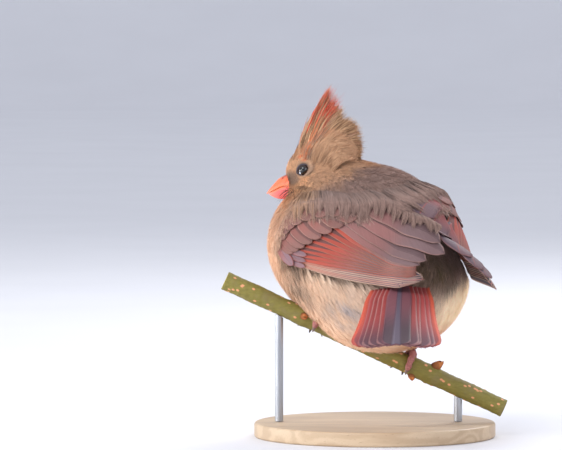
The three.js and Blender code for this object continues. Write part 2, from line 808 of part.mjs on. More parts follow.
function makeLeg(x, extra = 0) {
  const foot = aroundPerch(x, Math.PI / 2, PERCH_RADIUS * TAPER + 2 * GAP + 1.4 + HEEL_RADIUS - extra);
  const top = foot.clone().add(vec(0, 3, LEG_LENGTH + 2 * extra));
  return tube([foot, foot.clone().lerp(top, 0.5), top], [1.3 + extra, 1.4 + extra, 2 + extra]);
}

// Stand

function makeBase() {
  const bevel = 1;
  const profile = [
    new THREE.Vector2(0, 0),
    new THREE.Vector2(BASE_RADIUS - bevel, 0),
    new THREE.Vector2(BASE_RADIUS, bevel),
    new THREE.Vector2(BASE_RADIUS, BASE_HEIGHT - bevel),
    new THREE.Vector2(BASE_RADIUS - bevel, BASE_HEIGHT),
    new THREE.Vector2(0, BASE_HEIGHT),
  ];
  const disc = new THREE.LatheGeometry(profile, 28);
  disc.rotateX(Math.PI / 2);
  return solid(disc);
}

function makeRod(x) {
  const top = perchAxis(x).z;
  const height = top - BASE_HEIGHT - GAP;
  const rod = new THREE.CylinderGeometry(ROD_RADIUS, ROD_RADIUS, height, 16, 1);
  rod.rotateX(Math.PI / 2);
  rod.translate(x, 0, BASE_HEIGHT + GAP + height / 2);
  return solid(rod).subtract(perchRod(PERCH_RADIUS * TAPER + GAP, PERCH_FROM - 5, PERCH_TO + 5));
}

// Assembly

const perchClearance = perchRod(PERCH_RADIUS * TAPER + GAP, PERCH_FROM - 5, PERCH_TO + 5);
const parts = new Map();
const put = (name, shape, material) => parts.set(name, { shape, material });

const around = (distance) => (point) => plumage(point) - distance;
const headClearance = skinAround(headPoint(-2, 0, 2), 7, around(GAP));
const tail = makeTail();

let torso = makeTorso().subtract(perchClearance).subtract(tailClearance());
for (const x of Object.values(FOOT_PLACES)) {
  torso = torso.subtract(footRoom(x)).subtract(makeLeg(x, GAP));
}

put(
  'head',
  joined([makeHead(), makeLid(1), makeLid(-1)]).subtract(makeEye(1, GAP)).subtract(makeEye(-1, GAP)),
  FINISH.face,
);
put('neck', makeNeck(), FINISH.mantle);
put('torso', torso, FINISH.mantle);
put(
  'bill_upper',
  billHalf('upper').subtract(makeNostril(1)).subtract(makeNostril(-1)).subtract(headClearance),
  FINISH.bill,
);
put('bill_lower', billHalf('lower').subtract(headClearance), FINISH.bill);
put('eye_left', makeEye(1), FINISH.eye);
put('eye_right', makeEye(-1), FINISH.eye);
put('crest', makeCrest().subtract(headClearance), FINISH.crest);
const wingRoom = skinAround(BODY_CENTRE, 8, around(GAP));
put('wing_left', makeWing('left').subtract(wingRoom), FINISH.wing);
put('wing_right', makeWing('right').subtract(wingRoom).subtract(tertialRoom()), FINISH.wing);
put('tail', tail, FINISH.tail);
for (const [side, x] of Object.entries(FOOT_PLACES)) {
  put(`foot_${side}`, makeFoot(x).subtract(perchClearance), FINISH.foot);
  put(`leg_${side}`, makeLeg(x), FINISH.foot);
}
put('perch', makePerch(), FINISH.bark);
put('stand_base', makeBase(), FINISH.wood);
for (const [name, x] of Object.entries(ROD_PLACES)) put(name, makeRod(x), FINISH.rod);

const group = new THREE.Group();
for (const [name, { shape, material }] of parts) {
  const mesh = new THREE.Mesh(toGeometry(shape), material);
  mesh.name = name;
  group.add(mesh);
}

export default group;
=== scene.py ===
"""A female northern cardinal, fluffed up on a cut branch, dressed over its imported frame.

Lengths in the classes are millimetres and the meshes are made in metres. +Z is up and +Y
points away from the camera.
"""

import logging
import math
from collections.abc import Callable, Sequence
from dataclasses import dataclass, field
from enum import Enum

import bmesh
import bpy
import numpy as np
from mathutils import Matrix, Vector

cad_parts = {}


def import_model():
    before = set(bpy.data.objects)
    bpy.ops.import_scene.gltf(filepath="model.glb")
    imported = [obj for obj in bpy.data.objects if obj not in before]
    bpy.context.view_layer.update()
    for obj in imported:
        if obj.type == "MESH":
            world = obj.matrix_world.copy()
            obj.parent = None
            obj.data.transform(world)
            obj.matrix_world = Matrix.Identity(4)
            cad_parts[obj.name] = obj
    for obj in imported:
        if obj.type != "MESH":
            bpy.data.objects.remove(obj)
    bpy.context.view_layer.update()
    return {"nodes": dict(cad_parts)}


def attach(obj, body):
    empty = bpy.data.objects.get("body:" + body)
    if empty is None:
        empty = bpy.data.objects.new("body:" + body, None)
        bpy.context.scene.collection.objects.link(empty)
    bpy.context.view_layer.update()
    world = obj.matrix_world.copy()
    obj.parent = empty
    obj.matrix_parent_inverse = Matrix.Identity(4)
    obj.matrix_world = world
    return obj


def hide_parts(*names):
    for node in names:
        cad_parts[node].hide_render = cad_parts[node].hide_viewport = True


log = logging.getLogger("cardinal")

MM = 0.001
BODY = "root"
# Side of the patch that a small feather takes on the bake's sheet, as a share of the sheet
BAKE_PATCH = 0.003
# Large feathers in a row of the bake's sheet
BAKE_TILES = 8
# How far across a large feather the barbs of its margin start
BARB_ROOT = 0.82
SEED = 11

HEADING = math.radians(32)
FORWARD = np.array([-math.sin(HEADING), math.cos(HEADING), 0.0])
RIGHT = np.array([math.cos(HEADING), math.sin(HEADING), 0.0])
UP = np.array([0.0, 0.0, 1.0])
DOWN = -UP
# To the left in the head's own directions, and away from the camera in the scene's
LEFT = AWAY = np.array([0.0, 1.0, 0.0])

Array, Generator = np.ndarray, np.random.Generator
Piece, Mesh, Material = bpy.types.Object, bpy.types.Mesh, bpy.types.Material
Tree, Node, Socket, Form = bpy.types.NodeTree, bpy.types.Node, bpy.types.NodeSocket, bmesh.types.BMesh
Place = tuple[float, float, float]
Colour = tuple[float, float, float, float]
Shape = Callable[[Array, Array], Array]


def srgb(red: float, green: float, blue: float) -> Colour:
    """Returns a display colour, given as 0 to 255, in linear light."""

    def linear(value: float) -> float:
        """Returns one channel in linear light."""
        share = value / 255
        return share / 12.92 if share <= 0.04045 else ((share + 0.055) / 1.055) ** 2.4

    return (linear(red), linear(green), linear(blue), 1.0)


def paints(*colours: Place) -> list[Colour]:
    """Returns display colours in linear light."""
    return [srgb(*colour) for colour in colours]


def unit(vectors: Array) -> Array:
    """Returns vectors scaled to length one."""
    return vectors / np.maximum(np.linalg.norm(vectors, axis=-1, keepdims=True), 1e-9)


def stack(*parts: Array | float) -> Array:
    """Returns places from their parts."""
    return np.stack(np.broadcast_arrays(*parts), -1)


def step(value: Array, low: float, high: float) -> Array:
    """Returns a smooth step from 0 at low to 1 at high; low may be the larger."""
    share = np.clip((value - low) / (high - low), 0, 1)
    return share * share * (3 - 2 * share)


def through(points: Sequence, share: Array) -> Array:
    """Returns places on the quadratic curve through a start, a middle and an end."""
    start, middle, end = (np.asarray(point, float) for point in points)
    share = np.asarray(share)[..., None]
    return (
        start * 2 * (share - 0.5) * (share - 1)
        + middle * 4 * share * (1 - share)
        + end * 2 * share * (share - 0.5)
    )


def bent(start: Array, middle: Array, end: Array, share: Array) -> Array:
    """Returns many curves that start, bend towards a middle and end at places."""
    share = share[..., None]
    path = start[:, None] * (2 * share**2 - 3 * share + 1) + middle[:, None] * (4 * share - 4 * share**2)
    return path + end[:, None] * (2 * share**2 - share)


def beside(path: Array, normal: Array) -> Array:
    """Returns the directions across curves, square to a normal."""
    return unit(np.cross(normal, unit(np.gradient(path, axis=1))))


# The bird's form


@dataclass(frozen=True)
class HeadFrame:
    """The place and turn of the head.

    Attributes:
        centre: Middle of the skull.
        turn: Heading of the bill from +X, in degrees.
        pitch: How far the bill is lowered, in degrees.
    """

    centre: Place = (-28, 7, 128)
    turn: float = 165.5
    pitch: float = 25

    @property
    def axes(self) -> Array:
        """Rows: ahead, left and up."""
        turn, pitch = math.radians(self.turn), math.radians(self.pitch)
        level = math.cos(pitch)
        ahead = np.array([math.cos(turn) * level, math.sin(turn) * level, -math.sin(pitch)])
        left = np.array([-math.sin(turn), math.cos(turn), 0.0])
        return np.array([ahead, left, np.cross(ahead, left)])

    def point(self, ahead: float, left: float, up: float) -> Array:
        """Returns a place given in the head's own directions."""
        return np.array(self.centre) + np.array([ahead, left, up], float) @ self.axes

    def points(self, local: Array) -> Array:
        """Returns many places given in the head's own directions."""
        return (np.array(self.centre) + local.reshape(-1, 3) @ self.axes).reshape(local.shape)

    def local(self, points: Array) -> Array:
        """Returns places as distances ahead, left and up of the head's centre."""
        return (points - np.array(self.centre)) @ self.axes.T


HEAD = HeadFrame()


@dataclass(frozen=True)
class Mass:
    """One rounded mass of the plumage.

    Attributes:
        centre: Its middle.
        radii: Its half lengths along its axes.
        on_head: True if its axes are the head's.
    """

    centre: Place
    radii: Place
    on_head: bool = False

    @property
    def axes(self) -> Array:
        """Rows: the mass's own directions."""
        return HEAD.axes if self.on_head else np.array([FORWARD, RIGHT, UP])

    def distance(self, points: Array) -> Array:
        """Returns about how far points lie outside the mass."""
        local = (points - np.array(self.centre)) @ self.axes.T / np.array(self.radii)
        nearness = np.linalg.norm(local, axis=-1)
        slope = np.linalg.norm(local / np.array(self.radii), axis=-1)
        return nearness * (nearness - 1) / np.maximum(slope, 1e-9)

    def matrix(self) -> Matrix:
        """Returns the transform that makes a unit ball this mass."""
        turned = self.axes.T * np.array(self.radii)
        rows = [[*turned[i], self.centre[i]] for i in range(3)]
        return Matrix([*rows, [0, 0, 0, 1]])


def blend(first: Array, second: Array, width: float) -> Array:
    """Returns the smooth union of two distances."""
    overlap = np.maximum(width - np.abs(first - second), 0) / width
    return np.minimum(first, second) - overlap * overlap * width / 4


@dataclass(frozen=True)
class Plumage:
    """The outer surface of the coat, as rounded masses that flow into one another.

    Attributes:
        chest: The breast, the widest mass.
        belly: The belly, down to the perch.
        mantle: The back between the wings.
        collar: The neck.
        skull: The front of the head.
        occiput: The back of the head.
        chin: The throat under the bill.
    """

    chest: Mass = Mass((-9, 8, 92), (45, 41, 38))
    belly: Mass = Mass((4, 1, 76.5), (43, 40, 36))
    mantle: Mass = Mass((0, 3, 93), (39, 34.5, 35))
    collar: Mass = Mass((-17.5, 6, 117), (20, 20, 16.8))
    skull: Mass = Mass(tuple(HEAD.point(0, 0, 0)), (15.5, 12.2, 13), True)
    occiput: Mass = Mass(tuple(HEAD.point(-10.5, 0, 2)), (13, 10.8, 10.5), True)
    chin: Mass = Mass(tuple(HEAD.point(8, 0, -7.5)), (8, 8.5, 6), True)

    @property
    def masses(self) -> list[Mass]:
        """All the masses."""
        return [self.chest, self.belly, self.mantle, self.collar, self.skull, self.occiput, self.chin]

    def distance(self, points: Array) -> Array:
        """Returns about how far points lie outside the surface."""
        torso = blend(self.chest.distance(points), self.belly.distance(points), 8)
        torso = blend(torso, self.mantle.distance(points), 8)
        head = blend(self.skull.distance(points), self.occiput.distance(points), 6)
        head = blend(head, self.chin.distance(points), 5)
        return blend(blend(torso, self.collar.distance(points), 8), head, 5)

    def outward(self, points: Array) -> Array:
        """Returns the surface's outward directions at points."""
        small = 0.05
        steps = np.eye(3) * small
        slopes = [self.distance(points + s) - self.distance(points - s) for s in steps]
        return unit(np.stack(slopes, axis=-1))

    def settle(self, points: Array, height: Array, rounds: int = 3) -> Array:
        """Returns points moved to given heights over the surface."""
        for _ in range(rounds):
            lift = height - self.distance(points)
            points = points + self.outward(points) * lift[..., None]
        return points


PLUMAGE = Plumage()


@dataclass(frozen=True)
class WingSurface:
    """A curved patch from nine places, held clear of the plumage, as an even grid.

    Attributes:
        places: Three rows of three places, from the lower edge to the upper edge.
        clearance: Height of the patch over the plumage.
        columns: Steps along it.
        rows: Steps across it.
        top: Share of its depth that it reaches, past its upper edge.
    """

    places: tuple
    clearance: float = 0.9
    columns: int = 48
    rows: int = 32
    top: float = 1.4667

    def grid(self) -> Array:
        """Returns the patch's places as an array of rows and columns."""
        along = np.linspace(-0.04, 1.04, self.columns + 1)
        across = np.linspace(-0.08, self.top, self.rows + 1)
        rows = [through(row, along) for row in self.places]
        points = np.stack([through([r[i] for r in rows], across) for i in range(len(along))], axis=1)
        for _ in range(4):
            distance = PLUMAGE.distance(points)
            hold = np.where(distance < self.clearance, 1, 1 - step(along, 0.5, 0.85)[None, :])
            lift = (self.clearance - distance) * hold
            points = points + PLUMAGE.outward(points) * lift[..., None]
        return points

    def reader(self) -> Callable[[Array, Array, Array], Array]:
        """Returns a function from places along and across, and a height, to points."""
        grid = self.grid()
        normals = unit(np.cross(np.gradient(grid, axis=1), np.gradient(grid, axis=0)))
        normals *= np.sign((normals * PLUMAGE.outward(grid)).sum(-1, keepdims=True))

        def read(along: Array, across: Array, height: Array) -> Array:
            """Returns points on the patch, raised by a height."""
            u = np.clip((along + 0.04) / 1.08, 0, 0.9999) * self.columns
            v = np.clip((across + 0.08) / (self.top + 0.08), 0, 0.9999) * self.rows
            i, j = u.astype(int), v.astype(int)
            fu, fv = (u - i)[..., None], (v - j)[..., None]

            def mixed(field_: Array) -> Array:
                """Returns a field of the grid read in between."""
                low = field_[j, i] * (1 - fu) + field_[j, i + 1] * fu
                high = field_[j + 1, i] * (1 - fu) + field_[j + 1, i + 1] * fu
                return low * (1 - fv) + high * fv

            return mixed(grid) + unit(mixed(normals)) * np.asarray(height)[..., None]

        return read


WING_PLACES = {
    "left": (
        ((-44, -12, 86), (-12, -40, 77.5), (22, -54, 75)),
        ((-42.5, -15, 96), (-7, -41, 92.5), (28.5, -51, 83)),
        ((-36, -17, 109), (1, -36, 108.5), (33, -42, 91)),
    ),
    "right": (
        ((28, 34, 80), (46.5, -5, 81), (60, -32, 66)),
        ((31, 29, 93), (37, -18, 95), (43, -40, 82)),
        ((26, 21, 104), (15, -29, 109.5), (19, -41.5, 96)),
    ),
}
WING_LENGTH = 90
WING_DEPTH = 34


# Meshes and objects


def link(thing: Piece) -> None:
    """Links an object to the scene."""
    bpy.context.scene.collection.objects.link(thing)


def new_object(name: str, mesh: Mesh, material: Material, slot: str, *nodes: str) -> Piece:
    """Makes an object that rides on the frame.

    Args:
        name: The piece's name.
        mesh: Its mesh, in metres, in place.
        material: Its finish.
        slot: The record's material slot; not used.
        nodes: The frame's nodes that it replaces.

    Returns:
        The linked object.
    """
    piece = bpy.data.objects.new(name, mesh)
    link(piece)
    mesh.materials.clear()
    mesh.materials.append(material)
    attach(piece, BODY)
    if nodes:
        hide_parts(*nodes)
    return piece


def thicken(piece: Piece, thickness: float, offset: float = 0) -> None:
    """Gives a piece of thin surfaces a thickness."""
    solid = piece.modifiers.new("thickness", "SOLIDIFY")
    solid.thickness = thickness * MM
    solid.offset = offset


def finish_bmesh(bm: Form, name: str, smooth: bool = True) -> Mesh:
    """Turns a bmesh made in millimetres into a mesh in metres.

    Args:
        bm: The shape; it is freed.
        name: The mesh's name.
        smooth: Whether its faces are shaded smooth.

    Returns:
        The mesh.
    """
    bmesh.ops.scale(bm, vec=(MM, MM, MM), verts=bm.verts)
    for face in bm.faces:
        face.smooth = smooth
    mesh = bpy.data.meshes.new(name)
    bm.to_mesh(mesh)
    bm.free()
    return mesh


def tube(bm: Form, path: Array, radii: Sequence[float], sides: int = 12) -> None:
    """Adds a closed tube along a path.

    Args:
        bm: The shape that it joins.
        path: Its middle line.
        radii: Its radius at each place of the path.
        sides: Corners round the tube.
    """
    rings = []
    last = len(path) - 1
    for i, place in enumerate(path):
        ahead = Vector(path[min(i + 1, last)] - path[max(i - 1, 0)]).normalized()
        turn = ahead.to_track_quat("Z", "Y").to_matrix().to_4x4()
        matrix = Matrix.Translation(Vector(place)) @ turn
        ends = i in (0, last)
        ring = bmesh.ops.create_circle(bm, cap_ends=ends, segments=sides, radius=radii[i], matrix=matrix)
        rings.append(ring["verts"])
    faces = []
    for one, two in zip(rings, rings[1:]):
        edges = set()
        for ring in (one, two):
            corners = set(ring)
            edges.update(e for v in ring for e in v.link_edges if set(e.verts) <= corners)
        faces += bmesh.ops.bridge_loops(bm, edges=list(edges))["faces"]
    ends = {face for ring in (rings[0], rings[-1]) for face in ring[0].link_faces}
    bmesh.ops.recalc_face_normals(bm, faces=list(ends.union(faces)))


# Shader helpers


class Shade:
    """Adds and links shader nodes in one tree."""

    def __init__(self, tree: Tree) -> None:
        """Keeps the tree.

        Args:
            tree: The node tree to fill.
        """
        self.tree = tree

    def add(self, kind: str, **settings: object) -> Node:
        """Returns a new node with its settings."""
        node = self.tree.nodes.new(kind)
        for name, value in settings.items():
            setattr(node, name, value)
        return node

    def put(self, socket: Socket, value: object) -> None:
        """Links a socket, or sets its value."""
        if isinstance(value, Socket):
            self.tree.links.new(value, socket)
        elif value is not None:
            socket.default_value = value

    def math(self, operation: str, first: object, second: object = None, third: object = None) -> object:
        """Returns the result of a Math node."""
        node = self.add("ShaderNodeMath", operation=operation)
        for socket, value in zip(node.inputs, (first, second, third)):
            self.put(socket, value)
        return node.outputs[0]

    def times(self, first: object, second: object) -> object:
        """Returns the product of two values."""
        return self.math("MULTIPLY", first, second)

    def vector(self, operation: str, first: object, second: object = None, scale: object = None) -> object:
        """Returns the result of a Vector Math node."""
        node = self.add("ShaderNodeVectorMath", operation=operation)
        self.put(node.inputs[0], first)
        self.put(node.inputs[1], second)
        if scale is not None:
            self.put(node.inputs["Scale"], scale)
        scalar = operation in ("DOT_PRODUCT", "LENGTH", "DISTANCE")
        return node.outputs[1 if scalar else 0]

    def mix(self, share: object, first: object, second: object, how: str = "MIX") -> object:
        """Returns two colours mixed."""
        node = self.add("ShaderNodeMix", data_type="RGBA", blend_type=how)
        for index, value in ((0, share), (6, first), (7, second)):
            self.put(node.inputs[index], value)
        return node.outputs[2]

    def over(self, colour: object, tint: Colour, mask: object, most: float) -> object:
        """Returns a colour with a tint laid over it where a mask is 1, at most by a share."""
        return self.mix(self.times(mask, most), colour, tint)

    def stain(self, colour: object, tint: Colour, most: float, *spot: object) -> object:
        """Returns a colour with a soft spot of a tint."""
        return self.over(colour, tint, self.spot(*spot), most)

    def ramp(self, value: object, low: float, high: float, bottom: float = 0, top: float = 1) -> object:
        """Returns a value stepped smoothly from one number to another."""
        node = self.add("ShaderNodeMapRange", interpolation_type="SMOOTHSTEP")
        if low > high:
            low, high, bottom, top = high, low, top, bottom
        for socket, number in zip(node.inputs, (value, low, high, bottom, top)):
            self.put(socket, number)
        return node.outputs[0]

    def noise(self, place: object, scale: float, detail: float = 2, rough: float = 0.5) -> object:
        """Returns the value of a Noise node."""
        node = self.add("ShaderNodeTexNoise")
        self.finish(node, {"Vector": place, "Scale": scale, "Detail": detail, "Roughness": rough})
        return node.outputs[0]

    def place(self) -> object:
        """Returns the place on the object."""
        return self.add("ShaderNodeTexCoord").outputs["Object"]

    def bump(self, height: object, strength: float, distance: float) -> object:
        """Returns the normal that a height gives."""
        node = self.add("ShaderNodeBump")
        self.finish(node, {"Strength": strength, "Distance": distance, "Height": height})
        return node.outputs[0]

    def finish(self, node: Node, values: dict[str, object]) -> None:
        """Links or sets a node's named inputs."""
        for label, value in values.items():
            self.put(node.inputs[label], value)

    def attribute(self, name: str, part: str = "Fac") -> object:
        """Returns a mesh attribute."""
        return self.add("ShaderNodeAttribute", attribute_name=name).outputs[part]

    def spot(self, place: object, centre: Place, radii: Place, edge: float = 0.35) -> object:
        """Returns a mask that is 1 inside a soft ellipsoid given in millimetres."""
        offset = self.vector("SUBTRACT", place, tuple(c * MM for c in centre))
        scaled = self.vector("DIVIDE", offset, tuple(r * MM for r in radii))
        return self.ramp(self.vector("LENGTH", scaled), 1 + edge, 1 - edge)


def shader_group(name: str, inputs: dict[str, str], outputs: dict[str, str]) -> tuple:
    """Makes a shader node group with named sockets.

    Args:
        name: The group's name.
        inputs: Socket names and kinds.
        outputs: Socket names and kinds.

    Returns:
        The group, its helper, its input node and its output node.
    """
    group = bpy.data.node_groups.new(name, "ShaderNodeTree")
    for way, sockets in (("INPUT", inputs), ("OUTPUT", outputs)):
        for label, kind in sockets.items():
            group.interface.new_socket(name=label, in_out=way, socket_type=kind)
    shade = Shade(group)
    return group, shade, shade.add("NodeGroupInput"), shade.add("NodeGroupOutput")


class Surface(Shade):
    """Fills the node tree of a new material."""

    def __init__(self, name: str) -> None:
        """Makes the material.

        Args:
            name: Its name.
        """
        self.material = bpy.data.materials.new(name)
        self.material.use_nodes = True
        super().__init__(self.material.node_tree)

    def made(
        self, colour: object, rough: object, normal: object = None, more: dict | None = None
    ) -> Material:
        """Returns the material, with its Principled shader's inputs linked or set."""
        values = {"Base Color": colour, "Roughness": rough, "Normal": normal, **(more or {})}
        self.finish(self.tree.nodes["Principled BSDF"], values)
        return self.material


VECTOR, FLOAT, COLOUR = "NodeSocketVector", "NodeSocketFloat", "NodeSocketColor"
VANE_INPUTS = {
    **dict.fromkeys(("Outer", "Outer tip", "Inner", "Edge", "Shaft"), COLOUR),
    **dict.fromkeys(("Edge width", "Turn", "Split"), FLOAT),
}


def markings_group() -> Tree:
    """Returns the group that gives the plumage's colour at a place on the skin."""
    group, s, inlet, outlet = shader_group(
        "plumage_markings", {"Place": VECTOR}, {"Colour": COLOUR, "Dark": FLOAT, "Fleck": FLOAT}
    )
    raw = inlet.outputs["Place"]
    wander = s.add("ShaderNodeTexNoise")
    s.finish(wander, {"Vector": raw, "Scale": 130.0})
    shift = s.vector("SUBTRACT", wander.outputs["Color"], (0.5, 0.5, 0.5))
    place = s.vector("ADD", raw, s.vector("SCALE", shift, scale=0.012))

    mantle = s.mix(s.noise(raw, 160, 3), srgb(134, 108, 99), srgb(158, 130, 119))
    # Belly and breast, under a sloping line along the flank
    line = s.vector("DOT_PRODUCT", place, tuple(0.36 * FORWARD + DOWN))
    under = s.ramp(line, -0.0935, -0.0795)
    cream = s.mix(s.noise(raw, 90, 3), srgb(222, 188, 158), srgb(242, 215, 190))
    level = s.vector("DOT_PRODUCT", raw, (0.0, 0.0, 1.0))
    cream = s.vector("SCALE", cream, scale=s.ramp(level, 0.056, 0.072, 1.0, 0.8))
    colour = s.mix(under, mantle, cream)
    # The breast's own buff, made paler partly as painted light from the bright ground and sky on its left
    # side.
    colour = s.stain(colour, srgb(214, 176, 146), 0.85, place, (-44, 14, 88), (25, 36, 33), 0.6)
    colour = s.stain(colour, srgb(214, 178, 146), 0.8, place, (-30, 40, 84), (30, 26, 32), 0.6)
    # Grey down that shows between the feathers of the flank
    down = s.ramp(s.noise(s.vector("MULTIPLY", raw, (1, 1, 0.5)), 200, 3), 0.38, 0.7, 0, 0.85)
    flank = s.spot(place, (-22, -32, 66), (17, 15, 9), 0.5)
    colour = s.mix(s.times(down, flank), colour, srgb(166, 160, 164))
    colour = s.stain(colour, srgb(244, 224, 194), 0.9, place, (44, -14, 70), (17, 22, 12), 0.4)
    # The rump, shaded brown between the wings and the tail
    rump = s.spot(place, (30, -34, 86), (16, 16, 10), 0.4)
    streak = s.ramp(s.noise(s.vector("MULTIPLY", raw, (1, 1, 0.35)), 330, 2), 0.42, 0.6, 0.55, 1)
    colour = s.mix(s.times(rump, streak), colour, srgb(84, 68, 46))
    # The head: ochre, warmest near the bill, streaked dark in front of the crest
    head = s.vector("SUBTRACT", place, (-0.0235, 0.008, 0.1185))
    head = s.vector("DOT_PRODUCT", head, (-0.48, 0.06, 0.875))
    ochre = s.mix(s.noise(raw, 200, 3), srgb(170, 131, 101), srgb(190, 149, 116))
    colour = s.mix(s.ramp(head, -0.002, 0.004), colour, ochre)
    face = tuple(HEAD.point(11, 0, -2))
    colour = s.stain(colour, srgb(222, 174, 132), 0.75, place, face, (10, 13, 13), 0.4)
    brow = s.spot(raw, tuple(HEAD.point(6, 0, 11)), (6, 8, 5), 0.4)
    dashes = s.ramp(s.noise(raw, 900, 1), 0.45, 0.55)
    colour = s.over(colour, srgb(96, 66, 54), s.times(brow, dashes), 0.75)
    marks = (
        (srgb(222, 174, 130), 0.8, place, (6.5, 9.5, -5.2), (9, 6, 3.2), 0.35),
        (srgb(84, 62, 50), 0.6, raw, (3.5, 11, -7.4), (7.5, 5, 1.0), 0.5),
        (srgb(112, 98, 94), 0.6, raw, (10.6, 7, 0.4), (4.6, 5.5, 3.0), 0.35),
        (srgb(122, 100, 88), 0.7, raw, (3.2, 11.5, 1.9), (3.9, 5.0, 3.4), 0.2),
        (srgb(204, 112, 70), 0.8, raw, (2.0, 10.5, 6.1), (4.2, 4.5, 0.7), 0.4),
    )
    for side in (1, -1):
        for tint, most, where, (ahead, out, up), radii, soft in marks:
            middle = tuple(HEAD.point(ahead, side * out, up))
            colour = s.stain(colour, tint, most, where, middle, radii, soft)
    # Painted shade: small dark gaps between the feathers of the neck and the breast's side, over a darker
    # tint on the breast's side
    gap_shade = s.ramp(s.noise(raw, 560, 1), 0.48, 0.57)
    edge = s.spot(place, (-43, -13, 79), (8, 11, 20), 0.4)
    colour = s.over(colour, srgb(120, 98, 88), edge, 0.3)
    dark = s.times(gap_shade, s.math("ADD", s.times(edge, 0.9), 0.06))
    calm = s.math("MAXIMUM", under, s.times(s.ramp(head, -0.002, 0.004), 0.7))
    s.finish(outlet, {"Colour": colour, "Dark": dark, "Fleck": s.ramp(calm, 0.2, 0.8, 1, 0.2)})
    return group


def vane_group() -> Tree:
    """Returns the group that draws webs, shaft, edge and barbs on a feather."""
    outputs = {"Colour": COLOUR, "Height": FLOAT}
    group, s, inlet, outlet = shader_group("vane_pattern", VANE_INPUTS, outputs)
    colours = inlet.outputs
    across, along, tone = (s.attribute(name) for name in ("across", "along", "tone"))
    off = s.math("ABSOLUTE", across)
    turn = s.math("SUBTRACT", along, colours["Turn"])
    outer = s.mix(s.ramp(turn, -0.22, 0.22), colours["Outer"], colours["Outer tip"])
    past = s.math("SUBTRACT", across, colours["Split"])
    colour = s.mix(s.ramp(past, -0.08, 0.08), outer, colours["Inner"])
    reach = s.math("ADD", off, s.times(s.ramp(along, 0.9, 1.02), 0.5))
    margin = s.math("SUBTRACT", reach, s.math("SUBTRACT", 1.0, colours["Edge width"]))
    rim = s.mix(s.times(tone, 0.75), colours["Edge"], colours["Outer"])
    rim = s.mix(s.ramp(along, 0.75, 0.97, 0, 0.45), rim, colours["Outer tip"])
    colour = s.mix(s.ramp(margin, -0.06, 0.1), colour, rim)
    colour = s.mix(s.ramp(off, 0.06, 0.02, 0, 0.8), colour, colours["Shaft"])
    slant = s.math("ADD", s.times(along, 90), s.times(off, -9))
    lines = s.add("ShaderNodeCombineXYZ")
    s.put(lines.inputs[0], slant)
    s.put(lines.inputs[1], s.times(tone, 40))
    barbs = s.noise(lines.outputs[0], 1.6, 3, 0.6)
    light = s.math("ADD", s.times(barbs, 0.5), s.times(tone, 0.22))
    light = s.math("ADD", light, 0.47)
    wave = s.math("SINE", s.times(slant, 5))
    height = s.math("ADD", s.ramp(off, 0.1, 0.0), s.times(wave, 0.25))
    s.finish(outlet, {"Colour": s.vector("SCALE", colour, scale=light), "Height": height})
    return group


@dataclass(frozen=True)
class CoatFinish:
    """The finish of the skin and of the small feathers over it.

    Attributes:
        name: The material's name.
        strands: True on the feathers, which read their root's place.
        light: Lightness of the darkest feathers.
        variety: How much lighter the lightest are.
    """

    name: str
    strands: bool
    light: float = 1.12
    variety: float = 0.22

    def build(self, markings: Tree) -> Material:
        """Returns the material."""
        s = Surface(self.name)
        look = s.add("ShaderNodeGroup", node_tree=markings)
        s.put(look.inputs["Place"], s.attribute("root", "Vector") if self.strands else s.place())
        if self.strands:
            along, tone = s.attribute("along"), s.attribute("tone")
            light = s.math("ADD", s.times(tone, self.variety), self.light)
            # Painted shade: each feather is darker towards its root, which lies under the others.
            light = s.times(light, s.ramp(along, 0.0, 0.75, 0.8, 1.06))
            colour = s.vector("SCALE", look.outputs["Colour"], scale=light)
            # Dark flecks on the darkest feathers, joined by the painted shade of the gaps between feathers
            # from the Dark output.
            fleck_and_gap_shade = s.times(s.ramp(tone, 0.035, 0.02), look.outputs["Fleck"])
            fleck_and_gap_shade = s.math("MAXIMUM", fleck_and_gap_shade, s.times(look.outputs["Dark"], 0.8))
            colour = s.over(colour, srgb(52, 42, 38), fleck_and_gap_shade, 0.8)
        else:
            # Painted shade: the skin under the coat is darker than the markings.
            colour = s.vector("SCALE", look.outputs["Colour"], scale=0.85)
        return s.made(colour, 0.85, more={"Specular IOR Level": 0.25, "Sheen Weight": 0.15})


@dataclass(frozen=True)
class VaneFinish:
    """The finish of one tier of large feathers.

    Attributes:
        name: The material's name.
        outer: Colour of the outer web near the root.
        outer_tip: Colour of the outer web near the tip.
        inner: Colour of the inner web.
        edge: Colour of the margin.
        shaft: Colour of the shaft.
        edge_width: Share of half the width that the margin takes.
        turn: Where along the feather the outer web changes colour.
        split: Where across the feather the inner web's colour starts, -1 to 1.
    """

    name: str
    outer: Colour
    outer_tip: Colour
    inner: Colour
    edge: Colour
    shaft: Colour
    edge_width: float = 0.12
    turn: float = 0.5
    split: float = 0.08

    def build(self, pattern: Tree) -> Material:
        """Returns the material."""
        s = Surface(self.name)
        look = s.add("ShaderNodeGroup", node_tree=pattern)
        for label in VANE_INPUTS:
            s.put(look.inputs[label], getattr(self, label.lower().replace(" ", "_")))
        normal = s.bump(look.outputs["Height"], 0.35, 0.00012)
        return s.made(look.outputs["Colour"], 0.6, normal, {"Specular IOR Level": 0.3})


